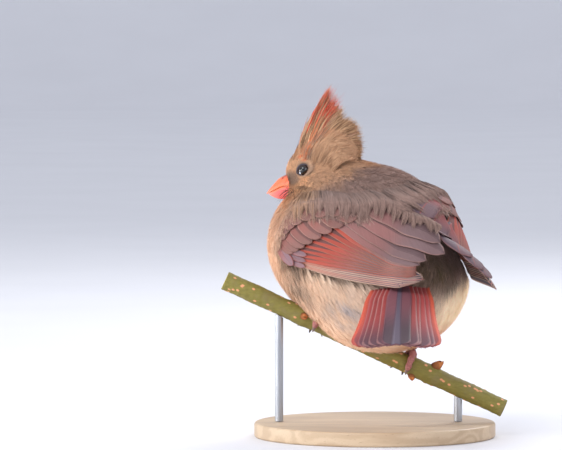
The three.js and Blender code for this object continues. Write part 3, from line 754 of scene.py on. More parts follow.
class Tier(Enum):
    """The kinds of large feathers, each with its finish."""

    PRIMARY = VaneFinish(
        "primary",
        *paints((188, 98, 80), (142, 116, 116), (62, 56, 72), (222, 188, 164), (60, 52, 66)),
        edge_width=0.24, turn=0.3, split=-0.45,
    )
    SECONDARY = VaneFinish(
        "secondary",
        *paints((172, 72, 56), (138, 102, 97), (112, 68, 64), (178, 122, 102), (96, 60, 58)),
        edge_width=0.16, turn=0.4, split=-0.15,
    )
    TERTIAL = VaneFinish(
        "tertial",
        *paints((144, 98, 94), (118, 93, 94), (100, 77, 79), (172, 140, 128), (92, 70, 72)),
        edge_width=0.1, turn=0.55,
    )
    COVERT = VaneFinish(
        "covert",
        *paints((146, 92, 84), (136, 95, 87), (114, 78, 74), (186, 144, 126), (140, 88, 82)),
        edge_width=0.1, turn=0.6,
    )
    ALULA = VaneFinish(
        "alula",
        *paints((150, 92, 88), (142, 108, 112), (134, 104, 110), (206, 100, 78), (110, 70, 74)),
        edge_width=0.12, turn=0.6,
    )
    SCAPULAR = VaneFinish(
        "scapular",
        *paints((150, 78, 76), (114, 88, 93), (102, 82, 90), (160, 136, 130), (150, 84, 78)),
        edge_width=0.06, turn=0.3, split=0.1,
    )
    # The tail tiers' second colours, near the outer tips, are dark partly as the feathers' own colour and
    # partly as painted shade, deepest on the central pair, whose tips lie in a shadowed hollow.
    TAIL_CENTRE = VaneFinish(
        "tail_centre",
        *paints((124, 76, 84), (72, 52, 62), (98, 86, 101), (136, 88, 92), (78, 62, 78)),
        edge_width=0.08, turn=0.6,
    )
    TAIL_SIDE = VaneFinish(
        "tail_side",
        *paints((168, 72, 70), (92, 54, 66), (92, 58, 68), (184, 138, 134), (104, 50, 58)),
        edge_width=0.1, turn=0.74, split=-0.1,
    )
    TAIL_EDGE = VaneFinish(
        "tail_edge",
        *paints((206, 92, 76), (132, 62, 70), (124, 60, 64), (224, 96, 68), (112, 50, 56)),
        edge_width=0.3, turn=0.78, split=-0.2,
    )
    CREST = VaneFinish(
        "crest",
        *paints((182, 142, 110), (170, 122, 96), (168, 130, 102), (200, 156, 122), (92, 66, 52)),
        edge_width=0.16, turn=0.6,
    )
    CREST_RED = VaneFinish(
        "crest_red",
        *paints((176, 130, 98), (200, 76, 60), (186, 104, 84), (214, 140, 112), (120, 50, 44)),
        edge_width=0.14, turn=0.35,
    )


# Large feathers


@dataclass
class Vanes:
    """A joined mesh of large feathers of one finish.

    Attributes:
        name: The piece's name.
        material: Its finish.
        slot: The record's material slot.
        thickness: Thickness of the feathers.
        rows: Steps along each feather.
        columns: Steps across each feather.
        bm: The shape that the feathers join.
        count: Feathers added so far.
    """

    name: str
    material: Material
    slot: str
    thickness: float
    rows: int = 22
    columns: int = 8
    bm: Form = field(default_factory=bmesh.new)
    count: int = 0

    def __post_init__(self) -> None:
        """Adds the layers that the vane pattern reads."""
        self.shapes = []
        self.layers = [self.bm.verts.layers.float.new(name) for name in ("across", "along", "tone")]
        self.uv = self.bm.loops.layers.uv.new("OFBake")

    def add(self, shape: Shape, tone: float) -> None:
        """Adds one feather.

        Args:
            shape: From places along (0 to 1) and across (-1 to 1) to points.
            tone: The feather's lightness, 0 to 1.
        """
        rows, columns = self.rows, self.columns
        grid = bmesh.ops.create_grid(self.bm, x_segments=rows, y_segments=columns, size=1)["verts"]
        local = np.array([v.co for v in grid])
        along, across = (local[:, 0] + 1) / 2, local[:, 1]
        for vert, point, t, a in zip(grid, shape(along, across), along, across):
            vert.co = point
            for layer, value in zip(self.layers, (a, t, tone)):
                vert[layer] = value
        column, row = self.count % BAKE_TILES, self.count // BAKE_TILES % BAKE_TILES
        for face in {f for v in grid for f in v.link_faces}:
            for loop in face.loops:
                t, a = loop.vert[self.layers[1]], loop.vert[self.layers[0]]
                u, v = column + 0.06 + 0.88 * t, row + 0.5 + 0.42 * a
                loop[self.uv].uv = (u / BAKE_TILES, v / BAKE_TILES)
        self.count += 1
        self.shapes.append((shape, tone))

    def barbs(self, count: int) -> Piece:
        """Makes the fine barbs that stand out along the feathers' margins, a count on each."""
        rng = np.random.default_rng(SEED + 20)
        strips = []
        for shape, tone in self.shapes:
            start = rng.uniform(0.08, 0.99, count)
            hand = np.where(rng.random(count) < 0.5, -1, 1)
            reach = rng.uniform(1.0, 1.1, count)
            share = np.array([0, 0.5, 1.0])[None]
            along = start[:, None] + rng.uniform(0.03, 0.06, count)[:, None] * share
            across = hand[:, None] * (BARB_ROOT + (reach[:, None] - BARB_ROOT) * share)
            path = shape(along.ravel(), across.ravel()).reshape(count, 3, 3)
            after = shape(along.ravel() + 0.01, across.ravel()).reshape(count, 3, 3)
            width = np.outer(rng.uniform(0.14, 0.26, count), (1, 0.8, 0))
            tones = np.full(count, tone)
            strips.append(Strips(path, unit(after - path), width, along, tones, across=across))
        return strips_object(f"{self.name}_barbs", strips, self.material, self.slot)

    def build(self, *nodes: str) -> Piece:
        """Makes the feathers in place of the frame's nodes."""
        mesh = finish_bmesh(self.bm, self.name)
        piece = new_object(self.name, mesh, self.material, self.slot, *nodes)
        thicken(piece, self.thickness)
        return piece


def blade(along: Array, root: float, widest: float, tip: float) -> Array:
    """Returns a feather's share of its full width along it.

    Args:
        along: Places along the feather, 0 to 1.
        root: Share at the root.
        widest: Where the full width is reached.
        tip: Where the rounded tip starts.
    """
    rise = root + (1 - root) * step(along, 0, widest)
    rounding = np.clip((along - tip) / (1 - tip), 0, 1)
    return rise * np.sqrt(np.maximum(1 - rounding**2.2, 0.0004))


@dataclass(frozen=True)
class WingFeather:
    """A feather laid on a wing.

    Attributes:
        tier: Its kind.
        line: Root, a place passed and tip, as shares of the wing's length and depth.
        width: Its width.
        low: Its height over the wing at its root.
        high: Its height at its tip.
        tilt: How much its lower edge is raised.
        tip: Where its rounded tip starts.
    """

    tier: Tier
    line: tuple
    width: float
    low: float
    high: float
    tilt: float = 0.3
    tip: float = 0.8

    def shape(self, read: Callable) -> Shape:
        """Returns the feather's shape on a wing's surface."""

        def points(along: Array, across: Array) -> Array:
            """Returns points of the feather."""
            here = through(self.line, along)
            ahead = through(self.line, along + 0.01) - through(self.line, along - 0.01)
            run, rise = ahead[:, 0] * WING_LENGTH, ahead[:, 1] * WING_DEPTH
            length = np.hypot(run, rise)
            share = blade(along, 0.15 if self.tier is Tier.SCAPULAR else 0.5, 0.35, self.tip)
            aside = across * self.width / 2 * share
            a = here[:, 0] - rise / length * aside / WING_LENGTH
            b = here[:, 1] + run / length * aside / WING_DEPTH
            crown = 0.22 * (1 - across**2)
            height = self.low + (self.high - self.low) * along - self.tilt * across * share + crown
            return read(a, b, height)

        return points


def spread(count: int) -> list[float]:
    """Returns evenly spaced shares from 0 to 1."""
    return [k / (count - 1) for k in range(count)]


def lerp(low: float, high: float, share: float) -> float:
    """Returns a value between two numbers."""
    return low + (high - low) * share


# Roots, places passed, tips and widths of the innermost flight feathers, lowest first
TERTIALS = {
    "left": (
        (((0.28, 0.8), (0.6, 0.6), (0.89, 0.44)), 7.5),
        (((0.3, 0.86), (0.64, 0.68), (0.91, 0.54)), 8.5),
        (((0.34, 0.93), (0.68, 0.85), (0.985, 0.79)), 10.5),
        (((0.36, 1.02), (0.62, 1.04), (0.93, 0.93)), 10.5),
    ),
    "right": (
        (((0.45, 0.34), (0.72, 0.33), (0.98, 0.33)), 8),
        (((0.45, 0.5), (0.7, 0.47), (0.97, 0.46)), 9.5),
        (((0.42, 0.68), (0.66, 0.64), (0.93, 0.62)), 11.5),
        (((0.38, 0.82), (0.6, 0.8), (0.84, 0.78)), 11.5),
        (((0.3, 0.95), (0.43, 0.94), (0.57, 0.93)), 7.5),
    ),
}


@dataclass
class Wing:
    """One folded wing.

    Attributes:
        side: Which wing.
        primaries: Flight feathers of the hand that show.
        secondaries: Flight feathers of the arm that show.
        greater: Greater coverts that show.
        median: Median coverts that show.
    """

    side: str
    primaries: int = 8
    secondaries: int = 8
    greater: int = 8
    median: int = 7

    def feathers(self) -> list[WingFeather]:
        """Returns the feathers from the lowest to the highest."""
        feathers = []
        flat = 0 if self.side == "left" else 0.35
        for k, s in enumerate(spread(self.primaries)):
            tip = (lerp(0.87, 0.96, math.sin(s * math.pi * 0.75)), lerp(0.03, 0.28, s))
            line = ((0.08, lerp(0.09, 0.2, s)), (0.5, lerp(0.06, 0.26, s)), tip)
            low, high = 0.5 + 0.15 * k, 0.6 + 0.16 * k
            feathers.append(WingFeather(Tier.PRIMARY, line, 4.6, low, high, 0.25, 0.88))
        for k, s in enumerate(spread(self.secondaries)):
            root = (lerp(0.1, 0.28, s), lerp(0.2, 0.76, s))
            middle = (lerp(0.5, 0.56, s), lerp(0.25, 0.55, s))
            line = (root, middle, (lerp(0.9, 0.88, s), lerp(0.25, 0.39, s)))
            low, high = 1.7 + 0.16 * k, 2.1 + 0.18 * k
            feathers.append(WingFeather(Tier.SECONDARY, line, 5.6, low, high, 0.3, 0.86))
        for k, (line, width) in enumerate(TERTIALS[self.side]):
            tier = Tier.TERTIAL if self.side == "left" else Tier.SCAPULAR
            low = 3 - 2 * flat + 0.3 * k
            feathers.append(WingFeather(tier, line, width, low, 3.5 + 0.4 * k, 0.35, 0.8))
        for k, s in enumerate(spread(3)):
            b = lerp(0.08, 0.28, s)
            line = ((0.02, b + 0.06), (0.1, b + 0.03), (0.2, b))
            feathers.append(WingFeather(Tier.ALULA, line, 3.4, 1.8 + 0.2 * k, 2.2 + 0.2 * k, 0.2, 0.7))
        roots, tips = ((0, 0.5), (0.06, 0.8), (0.27, 0.95)), ((0.12, 0.29), (0.235, 0.52), (0.4, 0.86))
        for k, line in enumerate(self.row(roots, tips, self.greater, 0.03)):
            low, high = 2.3 + 0.18 * k - flat, 3.1 + 0.2 * k - flat
            feathers.append(WingFeather(Tier.COVERT, line, 5.4, low, high, 0.3, 0.62))
        roots, tips = ((0, 0.72), (0.03, 0.94), (0.2, 1)), ((0.055, 0.5), (0.12, 0.74), (0.32, 0.9))
        for k, line in enumerate(self.row(roots, tips, self.median, 0.02)):
            low, high = 3.2 + 0.14 * k - 1.4 * flat, 3.9 + 0.15 * k - 1.4 * flat
            feathers.append(WingFeather(Tier.COVERT, line, 5.6, low, high, 0.3, 0.6))
        line = ((0.01, 0.4), (0.055, 0.22), (0.13, 0.07))
        feathers.append(WingFeather(Tier.ALULA, line, 6.2, 2.6, 3.3, 0.25, 0.6))
        return feathers

    @staticmethod
    def row(roots: tuple, tips: tuple, count: int, bow: float) -> list[tuple]:
        """Returns the lines of a row of coverts, from a curve of roots to a curve of tips."""
        lines = []
        for s in spread(count):
            root, tip = through(roots, s), through(tips, s)
            lines.append((tuple(root), tuple((root + tip) / 2 - (0.01, bow)), tuple(tip)))
        return lines

    def build(self, finishes: dict[Tier, Material]) -> list[Piece]:
        """Makes the wing's pieces, one for each kind of feather."""
        read = WingSurface(WING_PLACES[self.side]).reader()
        rng = np.random.default_rng(SEED)
        tiers: dict[Tier, Vanes] = {}
        for feather in self.feathers():
            tier = feather.tier
            if tier not in tiers:
                name = f"wing_{self.side}_{tier.value.name}"
                tiers[tier] = Vanes(name, finishes[tier], "wing_feathers", 0.16)
            tiers[tier].add(feather.shape(read), rng.random())
        pieces = [piece for vanes in tiers.values() for piece in (vanes.build(), vanes.barbs(130))]
        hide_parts(f"wing_{self.side}")
        return pieces


@dataclass
class Tail:
    """The fan of tail feathers.

    Attributes:
        root: Where the fan starts.
        tip: Middle of its far edge.
        length: Length of the longest feather.
        spread: Width across the tips.
        pairs: Pairs of feathers.
        vane: Width of a feather.
        sunk: Where along the fan the feathers come out of the plumage.
        drop: How much lower each pair lies than the one inside it.
    """

    root: Place = (12, -24, 78)
    tip: Place = (7.5, -118, 53.5)
    length: float = 99
    spread: float = 44
    pairs: int = 6
    vane: float = 9.5
    sunk: float = 9
    drop: float = 0.42

    @property
    def axes(self) -> Array:
        """Rows: along, to the side and up."""
        ahead = unit(np.array(self.tip) - np.array(self.root))
        side = unit(np.cross(ahead, UP))
        return np.array([ahead, side, np.cross(side, ahead)])

    def shape(self, side: int, pair: int) -> Shape:
        """Returns the shape of one feather."""
        outermost = self.pairs - 1
        jitter = 1.1 * math.sin(pair * 2.7 + side * 1.1) * (0 < pair < outermost)
        tip = side * (lerp(2.2, self.spread / 2 - self.vane / 2, pair / outermost) + jitter)
        start = side * lerp(1, 11, pair / outermost)
        length = self.length - 0.5 * abs(pair - 3.2) - 1.6 * (pair == outermost)

        def points(along: Array, across: Array) -> Array:
            """Returns points of the feather."""
            share = blade(along, 0.55, 0.3, 0.945 - 0.08 * (pair == outermost))
            middle = start + (tip - start) * along**2
            aside = -side * across * self.vane / 2 * share
            flat = step(along, 0.45, 1)
            height = (1 - self.drop * pair) * (1 - flat) + (-0.6 - 0.1 * pair) * flat
            height = height - (0.12 if side > 0 else 0)
            height = height + 0.22 * side * np.sign(aside) * np.abs(across) + 0.2 * (1 - across**2)
            run = self.sunk + (length - self.sunk) * along
            local = stack(run, middle + aside, height - 0.002 * middle**2)
            return np.array(self.root) + local @ self.axes

        return points

    def build(self, finishes: dict[Tier, Material]) -> list[Piece]:
        """Makes the tail's pieces."""
        rng = np.random.default_rng(SEED + 1)
        tiers = {
            tier: Vanes(tier.value.name, finishes[tier], "tail_feathers", 0.2, 40)
            for tier in (Tier.TAIL_CENTRE, Tier.TAIL_SIDE, Tier.TAIL_EDGE)
        }
        for pair in range(self.pairs):
            for side in (-1, 1):
                tier = {0: Tier.TAIL_CENTRE, self.pairs - 1: Tier.TAIL_EDGE}.get(pair, Tier.TAIL_SIDE)
                tiers[tier].add(self.shape(side, pair), rng.random())
        pieces = [piece for vanes in tiers.values() for piece in (vanes.build(), vanes.barbs(500))]
        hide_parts("tail")
        return pieces


# Small feathers


@dataclass(frozen=True)
class Strips:
    """Thin strips that end in a point.

    Attributes:
        path: Middle lines, strips by stations by 3, in millimetres.
        side: Directions across the strips, shaped as path.
        width: Widths, strips by stations.
        along: How far along its feather each station lies, strips by stations.
        tone: Lightness of each strip.
        root: The place of each strip's feather on the skin; the strip's own start if left out.
        across: How far across its feather each station lies; the middle if left out.
    """

    path: Array
    side: Array
    width: Array
    along: Array
    tone: Array
    root: Array | None = None
    across: Array | None = None

    def arrays(self) -> tuple:
        """Returns all the arrays, with those that were left out filled in."""
        root = self.path[:, 0] if self.root is None else self.root
        across = self.along * 0 if self.across is None else self.across
        return self.path, self.side, self.width, self.along, self.tone, root, across


def strips_object(name: str, strips: Sequence[Strips], material: Material, slot: str) -> Piece:
    """Makes one piece of many strips, with the attributes that the finishes read.

    Args:
        name: The piece's name.
        strips: The strips, in parts with as many stations.
        material: Their finish.
        slot: The record's material slot.

    Returns:
        The piece.
    """
    joined = [np.concatenate(parts) for parts in zip(*(part.arrays() for part in strips))]
    path, side, width, along, tone, root, across = joined
    count, stations, _ = path.shape
    wide = stations - 1
    left = path[:, :wide] - side[:, :wide] * width[:, :wide, None] / 2
    right = path[:, :wide] + side[:, :wide] * width[:, :wide, None] / 2
    points = np.concatenate([np.stack([left, right], 2).reshape(count, -1, 3), path[:, -1:]], 1)
    per = 2 * wide + 1
    corners = []
    for k in range(wide - 1):
        corners += [[2 * k, 2 * k + 1, 2 * k + 3], [2 * k, 2 * k + 3, 2 * k + 2]]
    corners.append([2 * wide - 2, 2 * wide - 1, 2 * wide])
    faces = (np.arange(count)[:, None, None] * per + np.array(corners)[None]).reshape(-1, 3)

    mesh = bpy.data.meshes.new(name)
    mesh.vertices.add(count * per)
    mesh.vertices.foreach_set("co", (points * MM).astype(np.float32).ravel())
    mesh.loops.add(faces.size)
    mesh.loops.foreach_set("vertex_index", faces.astype(np.int32).ravel())
    mesh.polygons.add(len(faces))
    mesh.polygons.foreach_set("loop_start", np.arange(0, faces.size, 3, dtype=np.int32))
    mesh.polygons.foreach_set("loop_total", np.full(len(faces), 3, dtype=np.int32))
    mesh.polygons.foreach_set("use_smooth", np.ones(len(faces), dtype=bool))

    def doubled(values: Array) -> Array:
        """Returns station values at the strip's vertices."""
        return np.concatenate([np.repeat(values[:, :wide], 2, axis=1), values[:, -1:]], axis=1)

    tones = np.repeat(tone[:, None], per, axis=1)
    for label, values in (("along", doubled(along)), ("across", doubled(across)), ("tone", tones)):
        layer = mesh.attributes.new(label, "FLOAT", "POINT")
        layer.data.foreach_set("value", values.astype(np.float32).ravel())
    layer = mesh.attributes.new("root", "FLOAT_VECTOR", "POINT")
    layer.data.foreach_set("vector", np.repeat(root * MM, per, axis=0).astype(np.float32).ravel())

    edge = np.tile(np.array([-0.5, 0.5] * wide + [0.0]), (count, 1))
    local = stack(doubled(along) * BAKE_PATCH, (doubled(across) + edge * 0.2) * BAKE_PATCH)
    uv = (bake_place(root)[:, None] + local).reshape(-1, 2)[faces.ravel()]
    mesh.uv_layers.new(name="OFBake").data.foreach_set("uv", uv.astype(np.float32).ravel())
    mesh.update()
    mesh.validate()
    return new_object(name, mesh, material, slot)


def bake_place(points: Array) -> Array:
    """Returns places on an unwrap of the skin: head and body, each round its own middle."""
    on_head = PLUMAGE.skull.distance(points) < PLUMAGE.chest.distance(points)
    centre = np.where(on_head[:, None], np.array(PLUMAGE.skull.centre), np.array(PLUMAGE.mantle.centre))
    ray = unit(points - centre)
    turn = np.arctan2(ray[:, 1], ray[:, 0]) / (2 * np.pi) + 0.5
    rise = (ray[:, 2] + 1) / 2
    u = np.where(on_head, 0.72 + 0.26 * turn, 0.02 + 0.67 * turn)
    return stack(u, 0.02 + 0.94 * rise)


@dataclass(frozen=True)
class Lie:
    """How the coat lies: its direction, depth and the length of its feathers.

    Attributes:
        bill_root: Middle of the bill's root, from which the head's feathers run back.
        tail: The tail, along which the feathers at its root lie.
    """

    bill_root: Place = tuple(HEAD.point(13, 0, 0))
    tail: Tail = field(default_factory=Tail)

    def headness(self, points: Array) -> Array:
        """Returns 1 on the head, falling to 0 on the body."""
        return step(np.linalg.norm(points - np.array(HEAD.centre), axis=-1), 27, 15)

    def face(self, points: Array) -> Array:
        """Returns 1 round the bill and eyes, falling to 0 at the crown and neck."""
        return step(np.linalg.norm(points - np.array(self.bill_root), axis=-1), 21, 8)

    def tailness(self, points: Array) -> Array:
        """Returns 1 at the root of the tail, falling to 0 around it."""
        centre = np.array(self.tail.root) + 16 * self.tail.axes[0]
        return step(np.linalg.norm(points - centre, axis=-1), 24, 9)

    def depth(self, points: Array) -> Array:
        """Returns the depth of the coat."""
        head, face = self.headness(points), self.face(points)
        return 3.0 - 1.3 * head - 0.9 * face

    def length(self, points: Array) -> Array:
        """Returns the length of the feathers."""
        head, face = self.headness(points), self.face(points)
        low = step(points[..., 2], 90, 66)
        return 9.5 + 2.5 * low - 5.2 * head - 2.6 * face + 5 * self.tailness(points)

    def direction(self, points: Array, normal: Array) -> Array:
        """Returns the way that the feathers point, along the surface."""
        away = points - np.array(HEAD.centre)
        near = 1.1 * step(np.linalg.norm(away, axis=-1), 80, 30)[..., None]
        body = -0.62 * FORWARD + 0.8 * DOWN + unit(away) * near
        head = unit(points - np.array(self.bill_root))
        crown = 0.85 * step(HEAD.local(points)[..., 2], 0, 7)[..., None]
        head = unit(head + (np.array([-0.62, 0.0, 0.78]) @ HEAD.axes - head) * crown)
        pull = body + (head * 1.1 - body) * self.headness(points)[..., None]
        tail = self.tailness(points)[..., None]
        pull = pull * (1 - tail) + self.tail.axes[0] * tail
        return unit(pull - normal * (pull * normal).sum(-1, keepdims=True))


@dataclass
class Cover:
    """Where the wings cover the plumage, so that no small feather comes through them.

    Attributes:
        reach: Softness of the covered area's edge.
        near: Height over the plumage up to which a wing covers it.
        crowd: How many of a wing's points close by cover a place wholly.
    """

    reach: float = 2.6
    near: float = 1.6
    crowd: float = 1.6

    def __post_init__(self) -> None:
        """Lays points over each wing."""
        along, across = np.meshgrid(np.linspace(0.0, 0.92, 30), np.linspace(0.06, 1.09, 17))
        inside = across < 0.3 + 0.6 * step(1.05 - along, 0, 0.45)
        inner = (across > 0.85) & (along > 0.42) & (along < 0.8)
        height = np.zeros_like(along)
        points = []
        for side, places in WING_PLACES.items():
            laid = WingSurface(places).reader()(along, across, height)
            near = PLUMAGE.distance(laid) < self.near
            under = inner & (side == "left")
            free = (along > 0.45) & (across < 0.7) & (side == "right")
            points.append(laid[(inside | under) & near & ~free])
        self.points = np.concatenate(points)

    def amount(self, points: Array) -> Array:
        """Returns 1 under a wing, falling to 0 beside it."""
        flat = points.reshape(-1, 3)
        amount = np.empty(len(flat))
        for start in range(0, len(flat), 20000):
            part = flat[start : start + 20000]
            square = ((part[:, None] - self.points[None]) ** 2).sum(-1)
            near = np.exp(-square / self.reach**2 / 2)
            amount[start : start + 20000] = np.clip(near.sum(1) / self.crowd, 0, 1)
        return amount.reshape(points.shape[:-1])


@dataclass
class Skin:
    """The closed skin under the coat.

    Attributes:
        voxel: Size of the steps in which its masses are joined.
    """

    voxel: float = 1.5

    def build(self, material: Material, lie: Lie) -> Piece:
        """Makes the skin and returns its piece."""
        bm = bmesh.new()
        for mass in PLUMAGE.masses:
            bmesh.ops.create_icosphere(bm, subdivisions=4, radius=1, matrix=mass.matrix())
        rough = bpy.data.meshes.new("skin_rough")
        bm.to_mesh(rough)
        bm.free()
        holder = bpy.data.objects.new("skin_rough", rough)
        link(holder)
        remesh = holder.modifiers.new("join", "REMESH")
        remesh.mode = "VOXEL"
        remesh.voxel_size = self.voxel
        graph = bpy.context.evaluated_depsgraph_get()
        mesh = bpy.data.meshes.new_from_object(holder.evaluated_get(graph))
        bpy.data.objects.remove(holder)
        bpy.data.meshes.remove(rough)
        mesh.name = "plumage_skin"
        points = np.zeros(len(mesh.vertices) * 3)
        mesh.vertices.foreach_get("co", points)
        points = points.reshape(-1, 3)
        points = PLUMAGE.settle(points, -lie.depth(points), 4)
        mesh.vertices.foreach_set("co", (points * MM).ravel())
        mesh.polygons.foreach_set("use_smooth", np.ones(len(mesh.polygons), dtype=bool))
        mesh.update()
        return new_object("plumage_skin", mesh, material, "plumage_mantle", "head", "neck", "torso")

    @staticmethod
    def samples(piece: Piece, count: int, rng: Generator) -> Array:
        """Returns random places spread evenly over the skin."""
        mesh = piece.data
        mesh.calc_loop_triangles()
        points = np.zeros(len(mesh.vertices) * 3)
        mesh.vertices.foreach_get("co", points)
        corners = np.zeros(len(mesh.loop_triangles) * 3, dtype=np.int32)
        mesh.loop_triangles.foreach_get("vertices", corners)
        faces = points.reshape(-1, 3)[corners.reshape(-1, 3)] / MM
        area = np.linalg.norm(np.cross(faces[:, 1] - faces[:, 0], faces[:, 2] - faces[:, 0]), axis=1)
        chosen = rng.choice(len(faces), count, p=area / area.sum())
        a, b = rng.random((2, count, 1))
        flip = a + b > 1
        a, b = np.where(flip, 1 - a, a), np.where(flip, 1 - b, b)
        face = faces[chosen]
        return face[:, 0] * (1 - a - b) + face[:, 1] * a + face[:, 2] * b


def thinned(points: Array, spacing: Array) -> Array:
    """Returns the points left when those closer than the spacing are taken out."""
    cell = float(spacing.max())
    cells: dict[tuple, list[int]] = {}
    keep = []
    for index, point in enumerate(points):
        key = tuple((point // cell).astype(int))
        near = (
            other
            for dx in (-1, 0, 1)
            for dy in (-1, 0, 1)
            for dz in (-1, 0, 1)
            for other in cells.get((key[0] + dx, key[1] + dy, key[2] + dz), ())
        )
        limit = spacing[index] ** 2
        if all(((points[other] - point) ** 2).sum() > limit for other in near):
            cells.setdefault(key, []).append(index)
            keep.append(index)
    return points[keep]


@dataclass
class Coat:
    """The small feathers that cover the body and the head.

    Attributes:
        lie: How they lie.
        cover: Where the wings cover them.
        feathers: Places tried for feathers with vanes.
        wisps: Fine barbs over them.
        stations: Stations along a feather's shaft.
        barbs: Clumps of barbs on each side of a feather.
        eye: Middle of the bare patch round an eye: ahead of the head's centre, out and up.
        eye_radius: Its radius.
        bill: Middle of the bare patch under the bill's root.
        bill_radii: Its half lengths.
    """

    lie: Lie
    cover: Cover
    feathers: int = 40000
    wisps: int = 150000
    stations: int = 6
    barbs: int = 7
    eye: Place = (3.2, 11.2, 1.9)
    eye_radius: float = 3.5
    bill: Place = (15.8, 0, -1.0)
    bill_radii: Place = (5.2, 5.1, 6.2)

    def shafts(self, roots: Array, rng: Generator, longer: float, fluff: float) -> tuple:
        """Lays shafts over the surface.

        Args:
            roots: Where they start on the skin.
            rng: The source of variety.
            longer: Factor on the length.
            fluff: How far the tips stand off the coat.

        Returns:
            Points, directions and outward directions at each station.
        """
        count = len(roots)
        length = self.lie.length(roots) * longer * rng.uniform(0.75, 1.15, count)
        depth = self.lie.depth(roots)
        lift = fluff * rng.uniform(-0.3, 1, count) * (1 - 0.8 * self.lie.headness(roots))
        swing = rng.normal(0, 0.14, count)[:, None]
        above = step(roots[:, 2], 91, 99)
        points, ways, normals = [], [], []
        point = roots
        for k in range(self.stations):
            share = k / (self.stations - 1)
            normal = PLUMAGE.outward(point)
            way = self.lie.direction(point, normal)
            way = unit(way + np.cross(normal, way) * swing)
            far = step(point @ RIGHT, 14, 26)
            over = self.cover.amount(point) * (5.4 - 1.8 * far) * above
            height = -depth * (1 - share**0.6) + lift * share**2 + over
            offset = height - PLUMAGE.distance(point)
            points.append(point + normal * offset[:, None])
            ways.append(way)
            normals.append(normal)
            point = point + way * (length / (self.stations - 1))[:, None]
        return tuple(np.stack(values, axis=1) for values in (points, ways, normals))

    @staticmethod
    def at(values: Array, share: Array) -> Array:
        """Returns station values read in between, one strip a row."""
        place = np.clip(share, 0, 1) * (values.shape[1] - 1)
        index = np.minimum(place.astype(int), values.shape[1] - 2)
        part = (place - index)[..., None]
        rows = np.arange(len(values))[:, None]
        return values[rows, index] * (1 - part) + values[rows, index + 1] * part

    @staticmethod
    def rolled(sides: Array, normals: Array, most: float | Array, rng: Generator) -> Array:
        """Returns the directions across strips, each strip rolled about its own line."""
        roll = (rng.uniform(-1, 1, len(sides)) * most)[:, None, None]
        return sides * np.cos(roll) + normals * np.sin(roll)

    def vaned(self, roots: Array, rng: Generator) -> list[Strips]:
        """Returns the strips of feathers with vanes: a soft blade and clumps of barbs."""
        points, ways, normals = self.shafts(roots, rng, 1, 0.6)
        length = np.linalg.norm(np.diff(points, axis=1), axis=-1).sum(1)
        width = length * rng.uniform(0.34, 0.5, len(roots))
        sides = unit(np.cross(normals, ways))
        tone = rng.random(len(roots))
        strips = []
        shares = np.tile((0.0, 0.25, 0.5, 0.72), (len(roots), 1))
        body = self.at(points, shares)
        wide = np.outer(width, (0.3, 0.75, 0.8, 0.0))
        strips.append(Strips(body, self.at(sides, shares), wide, shares, tone, roots))
        for k in range(self.barbs):
            for hand in (-1, 1):
                start = 0.1 + 0.55 * k / self.barbs + rng.uniform(-0.03, 0.03, len(roots))
                end = np.minimum(start + rng.uniform(0.3, 0.45, len(roots)), 1.04)
                share = start[:, None] + (end - start)[:, None] * np.array([0, 0.55, 1.0])[None]
                out = hand * width * (0.58 - 0.42 * k / self.barbs + rng.uniform(-0.08, 0.08, len(roots)))
                aside = np.outer(out, (0.1, 0.72, 1.0))
                fall = -0.05 * np.abs(aside)
                normal = self.at(normals, share)
                path = self.at(points, share) + self.at(sides, share) * aside[..., None]
                path = path + normal * fall[..., None]
                across = self.rolled(beside(path, normal), normal, 0.7, rng)
                barb = np.outer(width, (0.1, 0.09, 0.0))
                shade = np.clip(tone + rng.normal(0, 0.16, len(roots)), 0, 1)
                strips.append(Strips(path, across, barb, share, shade, roots, aside / width[:, None]))
        return strips

    def loose(self, roots: Array, rng: Generator) -> Strips:
        """Returns the strips of loose fine barbs."""
        points, ways, normals = self.shafts(roots, rng, 0.9, 1.2)
        shares = np.tile((0.0, 0.4, 0.75, 1.0), (len(roots), 1))
        path = self.at(points, shares)
        sides = unit(np.cross(self.at(normals, shares), self.at(ways, shares)))
        bend = rng.normal(0, 0.5, len(roots))[:, None] * shares**2
        path = path + sides * bend[..., None]
        most = 1.05 - 0.45 * self.lie.headness(roots)
        sides = self.rolled(sides, self.at(normals, shares), most, rng)
        fine = rng.uniform(0.14, 0.28, len(roots)) * (1 - 0.35 * self.lie.headness(roots))
        width = np.outer(fine, (1.0, 0.9, 0.6, 0.0))
        return Strips(path, sides, width, shares, rng.random(len(roots)), roots)

    def kept(self, roots: Array) -> Array:
        """Returns the roots that no wing covers and that stay off the eyes and the bill."""
        free = self.cover.amount(roots) < 0.45
        local = HEAD.local(roots)
        for side in (1, -1):
            eye = local - np.array(self.eye) * (1, side, 1)
            free &= np.linalg.norm(eye, axis=-1) > self.eye_radius
        free &= np.linalg.norm((local - self.bill) / self.bill_radii, axis=-1) > 1
        return roots[free]

    def build(self, skin: Piece, material: Material) -> list[Piece]:
        """Makes the coat's pieces."""
        rng = np.random.default_rng(SEED + 2)
        roots = self.kept(Skin.samples(skin, self.feathers, rng))
        spacing = 1.75 - 0.6 * self.lie.headness(roots) - 0.35 * self.lie.face(roots)
        roots = thinned(roots, spacing)
        log.info("small feathers: %d", len(roots))
        strips = self.vaned(roots, rng)
        half = self.barbs + 1
        groups = {"vane": [strips[0]], "barbs_low": strips[1:half], "barbs_high": strips[half:]}
        fine = self.kept(Skin.samples(skin, self.wisps, rng))
        for index, part in enumerate(np.array_split(fine, 4)):
            groups[f"wisps_{index + 1}"] = [self.loose(part, rng)]
        extra = self.kept(Skin.samples(skin, self.wisps, rng))
        near = self.lie.headness(extra) > 0.3
        groups["wisps_head"] = [self.loose(extra[near], rng)]
        groups["wisps_mantle"] = [self.loose(extra[~near & (extra[:, 2] > 90)][:32000], rng)]
        return [strips_object(f"coat_{k}", v, material, "plumage_mantle") for k, v in groups.items()]


# Head details


